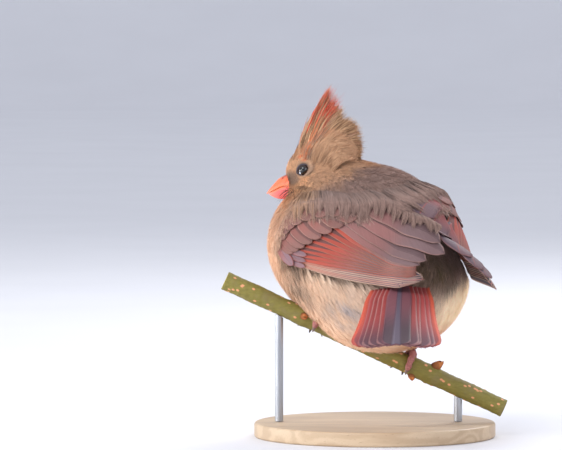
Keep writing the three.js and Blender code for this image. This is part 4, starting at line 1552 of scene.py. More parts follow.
@dataclass(frozen=True)
class StrandFinish:
    """The finish of loose strands, mixed from their own tone.

    Attributes:
        name: The material's name.
        dark: Colour of the darkest strands.
        light: Colour of the lightest strands.
        accent: Colour of the strands whose tone is over 1.
        rise: Lightness at the root; it grows to 1 at the tip.
    """

    name: str
    dark: Colour
    light: Colour
    accent: Colour = (0.0, 0.0, 0.0, 1.0)
    rise: float = 0.6

    def build(self) -> Material:
        """Returns the material."""
        s = Surface(self.name)
        tone, along = s.attribute("tone"), s.attribute("along")
        colour = s.mix(tone, self.dark, self.light)
        accent = s.times(s.ramp(tone, 1.05, 1.15), s.ramp(along, 0.1, 0.45))
        colour = s.mix(accent, colour, self.accent)
        colour = s.vector("SCALE", colour, scale=s.ramp(along, 0.0, 0.7, self.rise, 1.04))
        return s.made(colour, 0.75, more={"Specular IOR Level": 0.25})


@dataclass(frozen=True)
class Crest:
    """The raised crest.

    Attributes:
        lines: Roots and tips of its rows, as distances ahead of and above the head's centre.
        vanes: Feathers in a row.
        rows: Rows from side to side.
        strands: Loose barbs.
        crown_strands: Barbs that run up into it from the sides of the crown.
        red_rows: Between which lines feathers can be red.
        root_half: Half the crest's width at the crown.
        tip_half: Half its width at the tips.
        sweep: How far the feathers bow forward.
    """

    lines: tuple = (
        ((6.5, 8.5), (-6, 20)),
        ((4.5, 9.5), (-14, 27)),
        ((2.5, 10), (-20, 31.5)),
        ((0.5, 10), (-23.5, 33.5)),
        ((-1.5, 10), (-24.5, 24.5)),
        ((-4.5, 9.5), (-24.5, 17.5)),
        ((-7.5, 9), (-28, 13.5)),
        ((-10.5, 7.5), (-28.5, 7.5)),
        ((-13, 5), (-26.5, 2.5)),
        ((-13.5, 1), (-25, -1.5)),
        ((-13, -3), (-21.5, -6)),
    )
    vanes: int = 19
    rows: int = 7
    strands: int = 20000
    crown_strands: int = 9000
    red_rows: tuple = (0.7, 4.3)
    root_half: float = 5.0
    tip_half: float = 1.1
    sweep: float = 1.6

    def path(self, place: Array, row: Array, reach: Array, share: Array) -> Array:
        """Returns places in the head's directions.

        Args:
            place: Which line, 0 for the front.
            row: From -1 to 1 across the crest.
            reach: Share of the full length.
            share: Places along each feather.
        """
        order = np.arange(len(self.lines))
        ends = np.array(self.lines, float)
        root = stack(*(np.interp(place, order, ends[:, 0, k]) for k in (0, 1)))
        tip = stack(*(np.interp(place, order, ends[:, 1, k]) for k in (0, 1)))
        run = ((tip - root) * np.asarray(reach)[..., None])[..., None, :]
        length = np.linalg.norm(run, axis=-1)
        bow = self.sweep * np.sin(np.pi * share)
        ahead = root[..., None, 0] + run[..., 0] * share + run[..., 1] / length * bow
        up = root[..., None, 1] + run[..., 1] * share - run[..., 0] / length * bow
        row = np.asarray(row)[..., None]
        half = self.root_half + (self.tip_half - self.root_half) * share
        up = up - 1.6 * row**2 * (1 - share)
        return stack(ahead, row * half, up)

    def vane_shape(self, place: float, row: float, reach: float) -> Callable:
        """Returns the shape of one feather."""

        def points(along: Array, across: Array) -> Array:
            """Returns points of the feather."""
            line = np.array([[place], [row], [reach]])
            spine, near = (self.path(*line, along[None] + ahead)[0] for ahead in (0, 0.02))
            side = unit(np.cross(unit(near - spine), LEFT))
            share = blade(along, 0.7, 0.4, 0.45)
            aside = across * 1.75 * share
            lean = 0.35 * across * share + 0.25 * (1 - across**2) * np.sign(row + 0.01)
            return HEAD.points(spine + side * aside[:, None] + LEFT * lean[:, None])

        return points

    def build(self, vane: Material, red_vane: Material, strand: Material) -> list[Piece]:
        """Makes the crest's pieces.

        Args:
            vane: Finish of the brown feathers.
            red_vane: Finish of the red ones.
            strand: Finish of the loose barbs.

        Returns:
            The pieces.
        """
        rng = np.random.default_rng(SEED + 3)
        vanes = Vanes("crest_vanes", vane, "crest_feathers", 0.1, 14, 4)
        reds = Vanes("crest_red_vanes", red_vane, "crest_feathers", 0.1, 14, 4)
        for row in np.linspace(-1, 1, self.rows):
            for k in range(self.vanes):
                place = 1.1 + (k + rng.uniform(-0.3, 0.3)) / (self.vanes - 1) * (len(self.lines) - 2.1)
                reach = (1 - 0.12 * abs(row)) * rng.uniform(0.74, 1.0)
                red = self.red_rows[0] < place < self.red_rows[1] and rng.random() < 0.5
                (reds if red else vanes).add(self.vane_shape(place, row, reach), rng.random())
        feathers = vanes.build("crest")
        streaks = reds.build()
        count = self.strands
        front = rng.random(count) < 0.2
        place = np.where(front, rng.uniform(0, 2.6, count), rng.uniform(0, len(self.lines) - 1, count))
        row = rng.uniform(-1.9, 1.9, count)
        reach = rng.uniform(0.42, 1.06, count) * (1 - 0.52 * np.maximum(np.abs(row) - 0.9, 0))
        share = np.tile(np.linspace(0, 1, 5), (count, 1))
        loose = np.where(rng.random(count) < 0.06, 1.3, 0.4)[:, None, None]
        stray = rng.normal(0, 1, (count, 1, 3)) * loose * share[..., None] ** 2
        path = HEAD.points(self.path(place, row, reach, share) + stray)
        ahead = unit(np.gradient(path, axis=1))
        flat = np.where(rng.random(count) < 0.7, 1, 0.2)[:, None, None]
        across = unit(np.cross(HEAD.axes[1] * flat, ahead))
        across = Coat.rolled(across, unit(np.cross(ahead, across)), 1.3, rng)
        width = np.outer(rng.uniform(0.18, 0.42, count), (0.8, 1, 0.9, 0.6, 0))
        low, high = self.red_rows
        red = (place > low) & (place < high) & (rng.random(count) < 0.5) & (np.abs(row) < 1.3)
        tone = np.where(red, 1.3, rng.random(count) * np.where(front, 0.55, 1))
        strips = [Strips(path, across, width, share, tone)]
        return [feathers, streaks, strips_object("crest_barbs", strips, strand, "crest_feathers")]

    def crown(self, material: Material) -> Piece:
        """Makes the barbs that run from the sides of the crown up into the crest."""
        rng = np.random.default_rng(SEED + 8)
        count = self.crown_strands
        place = rng.uniform(0.6, len(self.lines) - 1.2, count)
        hand = np.where(rng.random(count) < 0.5, -1, 1)
        share = np.tile((0.0, 1.0), (count, 1))
        row, reach = hand * rng.uniform(0.5, 1.5, count), rng.uniform(0.3, 0.72, count)
        end = self.path(place, row, reach, share)[:, 1]
        base = self.path(place, hand * 0, np.ones(count), share)[:, 0]
        down = rng.uniform(0, 1, count) * rng.uniform(0.7, 1.3, count) * (0.45 + 0.55 * step(place, 1.5, 5))
        offset = stack(3.4 * down + 0.5, hand * (4.5 + 6.5 * down), -6.5 * down)
        start = PLUMAGE.settle(HEAD.points(base + offset), np.full(count, -0.7))
        end = HEAD.points(end)
        middle = start * 0.52 + end * 0.48
        low = PLUMAGE.distance(middle) < 0.8
        middle = np.where(low[:, None], PLUMAGE.settle(middle, np.full(count, 0.8)), middle)
        along = np.tile(np.linspace(0, 1, 6), (count, 1))
        path = bent(start, middle, end, along)
        path = path + rng.normal(0, 0.5, (count, 1, 3)) * along[..., None] ** 2
        ahead = unit(np.gradient(path, axis=1))
        across = unit(np.cross(HEAD.axes[1], ahead))
        across = Coat.rolled(across, unit(np.cross(ahead, across)), 1.2, rng)
        width = np.outer(rng.uniform(0.13, 0.3, count), (0.7, 1, 1, 0.8, 0.5, 0))
        strips = [Strips(path, across, width, along, rng.random(count), start)]
        return strips_object("crown_barbs", strips, material, "plumage_mantle")


def mapped(bm: Form, rows: int, columns: int, shape: Callable, **fields: Callable) -> list:
    """Adds a grid that a function bends into shape.

    Args:
        bm: The shape that it joins.
        rows: Steps of the first share.
        columns: Steps of the second share.
        shape: From two shares, 0 to 1, to points.
        fields: Vertex attributes, each a function of the two shares.

    Returns:
        The vertices.
    """
    layers = {name: bm.verts.layers.float.get(name) or bm.verts.layers.float.new(name) for name in fields}
    verts = bmesh.ops.create_grid(bm, x_segments=rows, y_segments=columns, size=1)["verts"]
    local = (np.array([v.co[:2] for v in verts]) + 1) / 2
    for vert, point in zip(verts, shape(local[:, 0], local[:, 1])):
        vert.co = point
    for name, values in fields.items():
        layer = layers[name]
        for vert, value in zip(verts, values(local[:, 0], local[:, 1])):
            vert[layer] = value
    return verts


def closed_mesh(bm: Form, name: str, merge: float = 0.01) -> Mesh:
    """Merges a shape's seams, fills its holes and turns it into a mesh."""
    bmesh.ops.remove_doubles(bm, verts=bm.verts, dist=merge)
    bmesh.ops.holes_fill(bm, edges=[e for e in bm.edges if e.is_boundary], sides=0)
    bmesh.ops.recalc_face_normals(bm, faces=bm.faces)
    return finish_bmesh(bm, name)


def shell(
    name: str, rows: int, columns: int, shape: Callable, finish: tuple, *nodes: str, **fields: Callable
) -> Piece:
    """Makes a closed piece from a grid that a function bends into shape.

    Args:
        name: The piece's name.
        rows: Steps of the first share.
        columns: Steps of the second share.
        shape: From two shares, 0 to 1, to points.
        finish: The material and the record's material slot.
        nodes: The frame's nodes that it replaces.
        fields: Vertex attributes, each a function of the two shares.

    Returns:
        The piece.
    """
    bm = bmesh.new()
    mapped(bm, rows, columns, shape, **fields)
    return new_object(name, closed_mesh(bm, name), *finish, *nodes)


@dataclass(frozen=True)
class Bill:
    """The bill: two halves of a deep cone that meet along the mouth line.

    Attributes:
        tip: How far ahead of the head's centre it ends.
        length: Its length.
        half_width: Half its width at the face.
        culmen: Height of the upper half at the face.
        gonys: Depth of the lower half at the face.
        gap: Half the gap along the mouth line.
        nostril: Place of the nostrils, ahead, out and up.
        nostril_radius: Their radius.
        steps: Steps along and around.
    """

    tip: float = 27.5
    length: float = 15.5
    half_width: float = 5.2
    culmen: float = 6.4
    gonys: float = 6.6
    gap: float = 0.09
    nostril: Place = (16.4, 3.6, 3.2)
    nostril_radius: float = 0.95
    steps: int = 64

    def mouth(self, back: Array) -> Array:
        """Returns the height of the mouth line."""
        return -0.4 - 1.6 * step(back, 8, self.length)

    def outer(self, upper: bool, along: Array, around: Array) -> Array:
        """Returns places on the outside of one half, in the head's directions."""
        sign, start = (1, 0.0) if upper else (-1, 0.9)
        back = self.length + (start - self.length) * along
        reach = back - start + 0.02
        width = self.half_width * (reach / self.length) ** 0.62 + 0.1
        if upper:
            height = self.culmen * (reach / self.length) ** 0.8
        else:
            height = -self.gonys * (1 - np.exp(-reach / 3.4))
        edge = self.mouth(back) + sign * self.gap
        peak = self.mouth(back) + height + sign * (self.gap + 0.15)
        angle = around * np.pi
        up = edge + (peak - edge) * np.sin(angle) ** 0.8
        points = stack(self.tip - back, np.cos(angle) * width, up)
        for side in (1, -1):
            place = np.array([self.nostril[0], side * self.nostril[1], self.nostril[2]])
            near = np.linalg.norm((points - place) / [1.25, 1, 0.8], axis=-1) / self.nostril_radius
            points[:, 1] -= side * (0.9 * step(near, 1, 0.35) - 0.12 * step(abs(near - 1.15), 0.4, 0))
        return points

    def half(self, upper: bool) -> Shape:
        """Returns the closed shape of one half."""

        def points(along: Array, loop: Array) -> Array:
            """Returns places outside for the loop's first half, and along its floor for the second."""
            outside = self.outer(upper, along, np.clip(loop * 2, 0, 1))
            share = (1 - np.cos(np.clip(2 - loop * 2, 0, 1) * np.pi))[:, None] / 2
            one = self.outer(upper, along, np.zeros_like(along))
            two = self.outer(upper, along, np.ones_like(along))
            floor = one * (1 - share) + two * share
            return HEAD.points(np.where(loop[:, None] <= 0.5, outside, floor))

        return points

    def material(self) -> Material:
        """Returns the bill's finish."""
        s = Surface("bill_horn")
        along, height = s.attribute("along"), s.attribute("height")
        place = s.place()
        mottle = s.noise(place, 420, 3)
        lower, upper = srgb(234, 96, 100), srgb(240, 104, 62)
        colour = s.mix(s.attribute("half"), lower, upper)
        ridge = s.times(s.attribute("half"), s.ramp(height, 0.8, 0.98, 0, 0.6))
        colour = s.mix(ridge, colour, srgb(250, 146, 62))
        colour = s.over(colour, srgb(250, 156, 128), mottle, 0.3)
        colour = s.mix(s.ramp(along, 0.55, 1.0, 0, 0.55), colour, srgb(244, 150, 120))
        colour = s.mix(s.ramp(height, 0.16, 0.02, 0, 0.7), colour, srgb(236, 120, 62))
        # Painted shade on top of the bill's root, where the face feathers overlap it.
        root_shade = s.times(s.ramp(along, 0.42, 0.2), s.ramp(height, 0.62, 0.9))
        colour = s.over(colour, srgb(112, 64, 62), root_shade, 0.8)
        # Painted shade in the nostrils' shallow dents.
        for side in (1, -1):
            ahead, out, up = self.nostril
            pit = s.spot(place, tuple(HEAD.point(ahead, side * (out - 0.5), up)), (0.7, 0.7, 0.42), 0.35)
            colour = s.mix(pit, colour, srgb(142, 62, 50))
        glow = {"Subsurface Weight": 0.12, "Subsurface Radius": (0.8, 0.3, 0.2), "Subsurface Scale": 0.001}
        rough = s.ramp(mottle, 0.3, 0.7, 0.3, 0.42)
        return s.made(colour, rough, s.bump(s.noise(place, 1400, 3), 0.2, 0.0001), glow)

    def build(self) -> list[Piece]:
        """Makes both halves."""
        finish = (self.material(), "bill_horn")
        pieces = []
        for node, upper in (("bill_upper", True), ("bill_lower", False)):
            fields = {
                "along": lambda along, loop: along,
                "half": lambda along, loop, top=upper: along * 0 + top,
                "height": lambda along, loop: np.sin(np.clip(loop, 0, 0.5) * 2 * np.pi) * (loop < 0.5),
            }
            half = self.half(upper)
            pieces.append(shell(f"{node}_horn", self.steps, self.steps * 2, half, finish, node, **fields))
        return pieces


@dataclass(frozen=True)
class Eyes:
    """Both eyes with their lids and the small feathers round them.

    Attributes:
        ahead: Distance ahead of the head's centre.
        out: Distance to the side.
        up: Distance up.
        radius: Radius of the ball.
        lid_radius: Radius of the fold of skin round the eye.
        lid_thickness: Half its thickness.
        lid_out: How far outside the ball's middle it lies.
        ring: Small feathers round one eye.
    """

    ahead: float = 3.2
    out: float = 9.9
    up: float = 1.9
    radius: float = 3.1
    lid_radius: float = 2.92
    lid_thickness: float = 0.32
    lid_out: float = 1.75
    ring: int = 620

    def place(self, side: int, extra: float = 0) -> Array:
        """Returns the middle of an eye, moved outward."""
        return HEAD.point(self.ahead, side * (self.out + extra), self.up)

    def ball_material(self) -> Material:
        """Returns the finish of the wet, dark eye, with a painted reflection at its front lower edge."""
        s = Surface("eye_wet")
        height = s.attribute("height")
        place = s.place()
        iris = s.mix(s.noise(place, 2600, 3), srgb(24, 14, 11), srgb(52, 32, 24))
        colour = s.mix(s.ramp(height, 0.86, 0.9), iris, srgb(5, 4, 5))
        # Painted reflection: a pale crescent spot at the front lower edge of each eye.
        for side in (1, -1):
            rim = HEAD.point(self.ahead + 1.95, side * (self.out + 2.25), self.up - 0.75)
            colour = s.mix(s.spot(place, tuple(rim), (0.3, 0.6, 0.75), 0.3), colour, srgb(222, 226, 236))
        return s.made(colour, 0.06, more={"Coat Weight": 0.4, "Coat Roughness": 0.02})

    def lid_material(self) -> Material:
        """Returns the finish of the lids."""
        s = Surface("lid_skin")
        place = s.place()
        colour = s.mix(s.noise(place, 1900, 3), srgb(44, 38, 46), srgb(84, 72, 80))
        return s.made(colour, 0.55, s.bump(s.noise(place, 2600, 2), 0.6, 0.00015))

    def ball(self, side: int) -> Shape:
        """Returns the ball's shape, with a slightly raised cornea."""

        def points(turn: Array, rise: Array) -> Array:
            """Returns points round and up the ball's outward axis."""
            angle, tilt = turn * 2 * np.pi, (rise - 0.5) * np.pi
            radius = self.radius * (1 + 0.05 * step(np.sin(tilt), 0.8, 1))
            flat = np.cos(tilt) * radius
            local = stack(np.cos(angle) * flat, side * np.sin(tilt) * radius, np.sin(angle) * flat)
            return self.place(side) + local @ HEAD.axes

        return points

    def lid(self, side: int) -> Shape:
        """Returns the shape of an eye's lids: an oval fold with fine scallops."""

        def points(turn: Array, around: Array) -> Array:
            """Returns points round the eye and round the fold."""
            angle, roll = turn * 2 * np.pi, around * 2 * np.pi
            thick = self.lid_thickness * (1 + 0.12 * np.cos(angle * 26))
            radius = self.lid_radius + thick * np.cos(roll) * 1.15
            out = side * (self.lid_out + thick * np.sin(roll) - 0.25 * np.abs(np.cos(angle)))
            corner = 0.35 * np.maximum(np.cos(angle * 2), 0) ** 3
            local = stack(np.cos(angle) * (radius * 1.04 + corner), out, np.sin(angle) * radius * 0.92)
            return self.place(side) + local @ HEAD.axes

        return points

    def ring_strips(self, side: int, rng: Generator) -> Strips:
        """Returns the strips of the small feathers that stand round an eye."""
        angle = rng.uniform(0, 2 * np.pi, self.ring)
        start = rng.uniform(3.0, 4.2, self.ring)
        length = rng.uniform(0.9, 1.9, self.ring) * (1 - 0.35 * np.cos(angle))
        shares = np.tile(np.linspace(0, 1, 4), (self.ring, 1))
        radius = start[:, None] + length[:, None] * shares * 0.6
        back = -0.65 * length[:, None] * shares
        path = HEAD.points(
            stack(
                self.ahead + np.cos(angle)[:, None] * radius + back,
                side * (self.out + 1.6 - 0.12 * (radius - 3) ** 2),
                self.up + np.sin(angle)[:, None] * radius,
            )
        )
        bulge = np.sin(np.pi * np.clip(shares * 0.8 + 0.15, 0, 1)) * 0.25
        path = PLUMAGE.settle(path, bulge + rng.uniform(-0.1, 0.25, self.ring)[:, None], 2)
        across = beside(path, PLUMAGE.outward(path))
        width = np.outer(rng.uniform(0.1, 0.2, self.ring), (0.8, 1, 0.7, 0))
        return Strips(path, across, width, shares, rng.random(self.ring))

    def build(self, coat: Material) -> list[Piece]:
        """Makes the eyes' pieces."""
        ball, skin = (self.ball_material(), "eye"), (self.lid_material(), "plumage_face")
        fields = {"height": lambda turn, rise: np.sin((rise - 0.5) * np.pi)}
        rng = np.random.default_rng(SEED + 4)
        pieces, strips = [], []
        for name, side in (("left", 1), ("right", -1)):
            eye = f"eye_{name}"
            pieces.append(shell(f"{eye}_ball", 48, 32, self.ball(side), ball, eye, **fields))
            pieces.append(shell(f"{eye}_lids", 104, 14, self.lid(side), skin))
            strips.append(self.ring_strips(side, rng))
        return [*pieces, strips_object("eye_feathers", strips, coat, "plumage_face")]


@dataclass(frozen=True)
class Bristles:
    """Fine dark bristles round the corner of the mouth and under the chin.

    Attributes:
        count: Bristles round the mouth.
        hairs: Longer hairs that stand off the throat.
    """

    count: int = 18
    hairs: int = 70

    def build(self) -> Piece:
        """Makes the bristles."""
        rng = np.random.default_rng(SEED + 5)
        finish = StrandFinish("bristle", srgb(40, 32, 30), srgb(84, 68, 60), rise=0.9).build()
        side = np.where(np.arange(self.count) % 2, 1, -1)
        share = np.tile(np.linspace(0, 1, 5), (self.count, 1))
        start = stack(
            rng.uniform(12.6, 15.2, self.count),
            side * rng.uniform(3.6, 5.2, self.count),
            rng.uniform(-6, 1.2, self.count),
        )
        length = rng.uniform(2.6, 5.4, self.count)
        way = stack(rng.uniform(0.6, 1, self.count), side * rng.uniform(0.1, 0.45, self.count), -0.35)
        local = start[:, None] + unit(way)[:, None] * (length[:, None] * share)[..., None]
        local[..., 2] -= 0.8 * share**2
        path = HEAD.points(local)
        across = beside(path, HEAD.axes[1])
        width = np.tile((0.13, 0.11, 0.09, 0.06, 0.0), (self.count, 1))
        strips = [Strips(path, across, width, share, rng.random(self.count)), self.throat(rng)]
        return strips_object("bristles", strips, finish, "plumage_face")

    def throat(self, rng: Generator) -> Strips:
        """Returns the strips of the long hairs that stand off the throat."""
        count = self.hairs
        local = [rng.uniform(low, high, count) for low, high in ((6, 12), (-6, 6), (-15, -10))]
        spot = HEAD.points(stack(*local))
        root = PLUMAGE.settle(spot, np.full(count, -1.0))
        share = np.tile(np.linspace(0, 1, 5), (count, 1))
        way = unit(PLUMAGE.outward(root) + 0.5 * DOWN + rng.normal(0, 0.3, (count, 3)))
        length = rng.uniform(4, 8.5, count)
        path = root[:, None] + way[:, None] * (length[:, None] * share)[..., None]
        path = path + DOWN * (1.6 * share**2)[..., None]
        across = beside(path, AWAY)
        width = np.tile((0.12, 0.11, 0.09, 0.06, 0.0), (count, 1))
        return Strips(path, across, width, share, rng.random(count), root)


# Perch, feet and stand


@dataclass(frozen=True)
class Perch:
    """The sloping cut length of green branch.

    Attributes:
        radius: Its radius at its middle.
        taper: How much wider or narrower it is at its ends.
        height: Height of its axis at x = 0.
        slope: Rise for each millimetre of x.
        start: Where it is cut at the left.
        end: Where it is cut at the right.
        lenticels: Raised pores in the bark.
        buds: Place, angle in degrees, length and radius of each bud.
    """

    radius: float = 4.4
    taper: float = 1.03
    height: float = 42
    slope: float = -0.46
    start: float = -72
    end: float = 62
    lenticels: int = 190
    buds: tuple = ((-34.5, 5, 2.6, 1.5), (27, 80, 4.6, 2.0), (19, -65, 2.8, 1.5))

    @property
    def along(self) -> Array:
        """The direction of the branch."""
        return unit(np.array([1, 0, self.slope]))

    @property
    def up(self) -> Array:
        """The direction away from the branch, upward."""
        return unit(np.array([-self.slope, 0, 1.0]))

    def around(self, x: Array, angle: Array, radius: Array) -> Array:
        """Returns places round the branch; angle 0 faces the viewer and grows upward."""
        x, angle, radius = np.broadcast_arrays(x, angle, radius)
        axis = stack(x, np.zeros_like(x), self.height + self.slope * x)
        out = np.cos(angle)[..., None] * -AWAY + np.sin(angle)[..., None] * self.up
        return axis + out * radius[..., None]

    def pores(self) -> Array:
        """Returns the place and angle of each lenticel."""
        rng = np.random.default_rng(SEED + 6)
        places = rng.uniform(self.start + 2, self.end - 2, self.lenticels)
        return stack(places, rng.uniform(0, 2 * np.pi, self.lenticels))

    def mark(self, x: Array, angle: Array) -> Array:
        """Returns 1 on a lenticel, falling to 0 beside it."""
        amount = np.zeros_like(x)
        for place, turn in self.pores():
            across = (np.mod(angle - turn + np.pi, 2 * np.pi) - np.pi) * self.radius
            near = np.hypot((x - place) / 0.95, across / 0.62)
            amount = np.maximum(amount, step(near, 1.1, 0.3))
        return amount

    def split(self, share: Array) -> tuple:
        """Returns the place along, and the share of the radius, of stations from end to end."""
        cap = 0.03
        x = self.start + (self.end - self.start) * np.clip((share - cap) / (1 - 2 * cap), 0, 1)
        rim = np.clip(np.minimum(share, 1 - share) / cap, 0, 1)
        return x, rim

    def shape(self, share: Array, turn: Array) -> Array:
        """Returns points of the bark and of the cut ends."""
        x, rim = self.split(share)
        angle = turn * 2 * np.pi
        taper, length = self.taper, self.end - self.start
        radius = self.radius * (taper + (1 / taper - taper) * (x - self.start) / length)
        wave = 0.1 * np.sin(x * 0.31 + 1.3 * np.cos(angle))
        wave = wave + 0.06 * np.sin(x * 1.7 + 3 * np.sin(angle + x * 0.1))
        ridges = 0.035 * np.sin(angle * 17 + 2 * np.sin(x * 0.23))
        swell = sum(0.35 * np.exp(-(((x - bud[0]) / 3.2) ** 2)) for bud in self.buds)
        radius = (radius + wave + ridges + swell + 0.2 * self.mark(x, angle)) * rim
        return self.around(x, angle, radius)

    def material(self) -> Material:
        """Returns the finish of the bark and of the cut ends."""
        s = Surface("branch_bark")
        place = s.place()
        stretched = s.vector("MULTIPLY", place, (0.35, 1, 1))
        colour = s.mix(s.noise(stretched, 900, 4, 0.6), srgb(98, 92, 38), srgb(146, 134, 62))
        colour = s.mix(s.ramp(s.noise(place, 130, 2), 0.5, 0.66, 0, 0.5), colour, srgb(126, 112, 74))
        mark, rim = s.attribute("mark"), s.attribute("rim")
        colour = s.mix(s.ramp(mark, 0.15, 0.6, 0, 0.95), colour, srgb(224, 156, 112))
        ring = s.math("SINE", s.times(rim, 34))
        wood = s.mix(s.ramp(ring, -1, 1), srgb(206, 184, 134), srgb(228, 212, 170))
        wood = s.mix(s.ramp(rim, 0.2, 0.12), wood, srgb(150, 116, 76))
        colour = s.mix(s.ramp(rim, 0.9, 0.86), colour, wood)
        return s.made(colour, 0.7, s.bump(s.noise(stretched, 1500, 4, 0.65), 0.5, 0.0003))

    def bud_scale(self, bud: tuple, index: int) -> Shape:
        """Returns the shape of one scale of a bud."""
        x, degrees, length, radius = bud
        turn = math.radians(degrees)
        lean = unit(math.cos(turn) * -AWAY + math.sin(turn) * self.up + 0.5 * self.along)
        aside = unit(np.cross(lean, self.along))
        other = np.cross(lean, aside)
        base = self.around(x, turn, self.radius - 0.6)
        heading = index * 2.4
        reach = length * (0.85 + 0.07 * index)

        def points(share: Array, across: Array) -> Array:
            """Returns points of the scale."""
            angle = heading + (across - 0.5) * 2.6 * (1 - 0.7 * share**2)
            out = radius * (1.15 - 0.06 * index) * np.sqrt(np.maximum(1 - share**2.6, 0)) + 0.05
            round_ = np.cos(angle)[:, None] * aside + np.sin(angle)[:, None] * other
            return base + lean * (reach * share)[:, None] + round_ * out[:, None]

        return points

    def build(self) -> list[Piece]:
        """Makes the branch and its buds."""
        bm = bmesh.new()
        x, rim = (lambda share: self.split(share)[0]), (lambda share: self.split(share)[1])
        fields = {
            "mark": lambda share, turn: self.mark(x(share), turn * 2 * np.pi) * (rim(share) > 0.9),
            "rim": lambda share, turn: rim(share),
        }
        mapped(bm, 380, 76, self.shape, **fields)
        mesh = closed_mesh(bm, "branch", 0.005)
        bark = new_object("branch", mesh, self.material(), "branch_bark", "perch")
        bm = bmesh.new()
        for bud in self.buds:
            for index in range(6):
                fields = {
                    "along": lambda share, across: share,
                    "tone": lambda share, across, tone=0.2 + 0.13 * index: share * 0 + tone,
                }
                mapped(bm, 10, 8, self.bud_scale(bud, index), **fields)
        finish = StrandFinish("bud_scale", srgb(116, 70, 40), srgb(206, 128, 74), rise=0.55).build()
        buds = new_object("branch_buds", finish_bmesh(bm, "branch_buds"), finish, "branch_bark")
        thicken(buds, 0.15, -1)
        return [bark, buds]


@dataclass(frozen=True)
class Foot:
    """One foot, closed round the branch, with its leg.

    Attributes:
        name: Which foot.
        x: Where it holds the branch.
        toes: Side of the branch (1 is the viewer's), sweep in degrees and slant of each toe.
        toe_radius: Radius of a toe.
        viewer_toe: How much stouter the hind toe is.
        claw: Where along a toe its claw starts.
        leg: From the leg's lower end to its upper end.
        leg_radius: The leg's radius at its lower end.
    """

    name: str
    x: float
    toes: tuple = ((1, 140, 1), (-1, 150, -5.9), (-1, 165, 0), (-1, 150, 5.9))
    toe_radius: float = 1.35
    viewer_toe: float = 1.3
    claw: float = 0.74
    leg: Place = (0, 3, 11.0)
    leg_radius: float = 1.3

    def toe(self, perch: Perch, toe: tuple, share: Array, lift: float = 0) -> Array:
        """Returns the middle line of a toe."""
        side, sweep, drift = toe
        angle = math.pi / 2 - side * math.radians(sweep) * share
        radius = perch.radius * perch.taper + 0.3 + self.toe_radius + 0.1 + lift
        return perch.around(self.x + drift * share, angle, radius)

    def build(self, perch: Perch, skin: Material, horn: Material) -> list[Piece]:
        """Makes the foot's pieces."""
        bm, claws = bmesh.new(), bmesh.new()
        for toe in self.toes:
            share = np.linspace(0, self.claw + 0.03, 46)
            pads = sum(0.26 * np.exp(-(((share - place) / 0.06) ** 2)) for place in (0.2, 0.44, 0.66))
            scutes = 0.05 * np.abs(np.sin(share * 62))
            radii = self.toe_radius * (0.88 + pads + scutes) * (1 - 0.25 * share / self.claw)
            bulk = self.viewer_toe if toe[0] > 0 else 1
            tube(bm, self.toe(perch, toe, share, 0.3 * (bulk > 1)), radii * bulk, 14)
            share = np.linspace(self.claw - 0.02, 1, 18)
            part = (share - share[0]) / (1 - share[0])
            path = self.toe(perch, toe, share)
            path = path - (toe[0] * 0.9 * np.sin(part * np.pi))[:, None] * AWAY * 0.4
            tube(claws, path, bulk * 0.85 * (1 - part) ** 0.7 + 0.07, 12)
        heel = perch.around(self.x, math.pi / 2, perch.radius * perch.taper + 1.7)
        bmesh.ops.create_icosphere(bm, subdivisions=3, radius=1.68, matrix=Matrix.Translation(Vector(heel)))
        node = f"foot_{self.name}"
        foot = new_object(f"{node}_skin", finish_bmesh(bm, "foot"), skin, "foot_skin", node)
        nails = new_object(f"{node}_claws", finish_bmesh(claws, "claws"), horn, "foot_skin")
        bm = bmesh.new()
        start = perch.around(self.x, math.pi / 2, perch.radius * perch.taper + 3.4)
        share = np.linspace(0, 1, 40)
        path = start + share[:, None] * np.array(self.leg)
        tube(bm, path, self.leg_radius + 0.7 * share**2 + 0.07 * np.abs(np.sin(share * 40)), 16)
        node = f"leg_{self.name}"
        leg = new_object(f"{node}_skin", finish_bmesh(bm, "leg"), skin, "foot_skin", node)
        return [foot, nails, leg]


def foot_materials() -> tuple[Material, Material]:
    """Returns the finishes of the feet's skin and of the claws."""
    s = Surface("foot_skin")
    place = s.place()
    scale = s.add("ShaderNodeTexVoronoi", feature="DISTANCE_TO_EDGE")
    s.finish(scale, {"Vector": place, "Scale": 1300.0})
    colour = s.mix(s.noise(place, 500, 3), srgb(150, 84, 82), srgb(196, 128, 118))
    colour = s.mix(s.ramp(scale.outputs["Distance"], 0.12, 0.02, 0, 0.6), colour, srgb(96, 52, 56))
    bump = s.bump(s.ramp(scale.outputs["Distance"], 0.0, 0.2), 0.5, 0.0002)
    skin = s.made(colour, 0.55, bump)
    s = Surface("claw_horn")
    colour = s.mix(s.noise(s.place(), 700, 3), srgb(92, 74, 68), srgb(140, 118, 106))
    return skin, s.made(colour, 0.35)


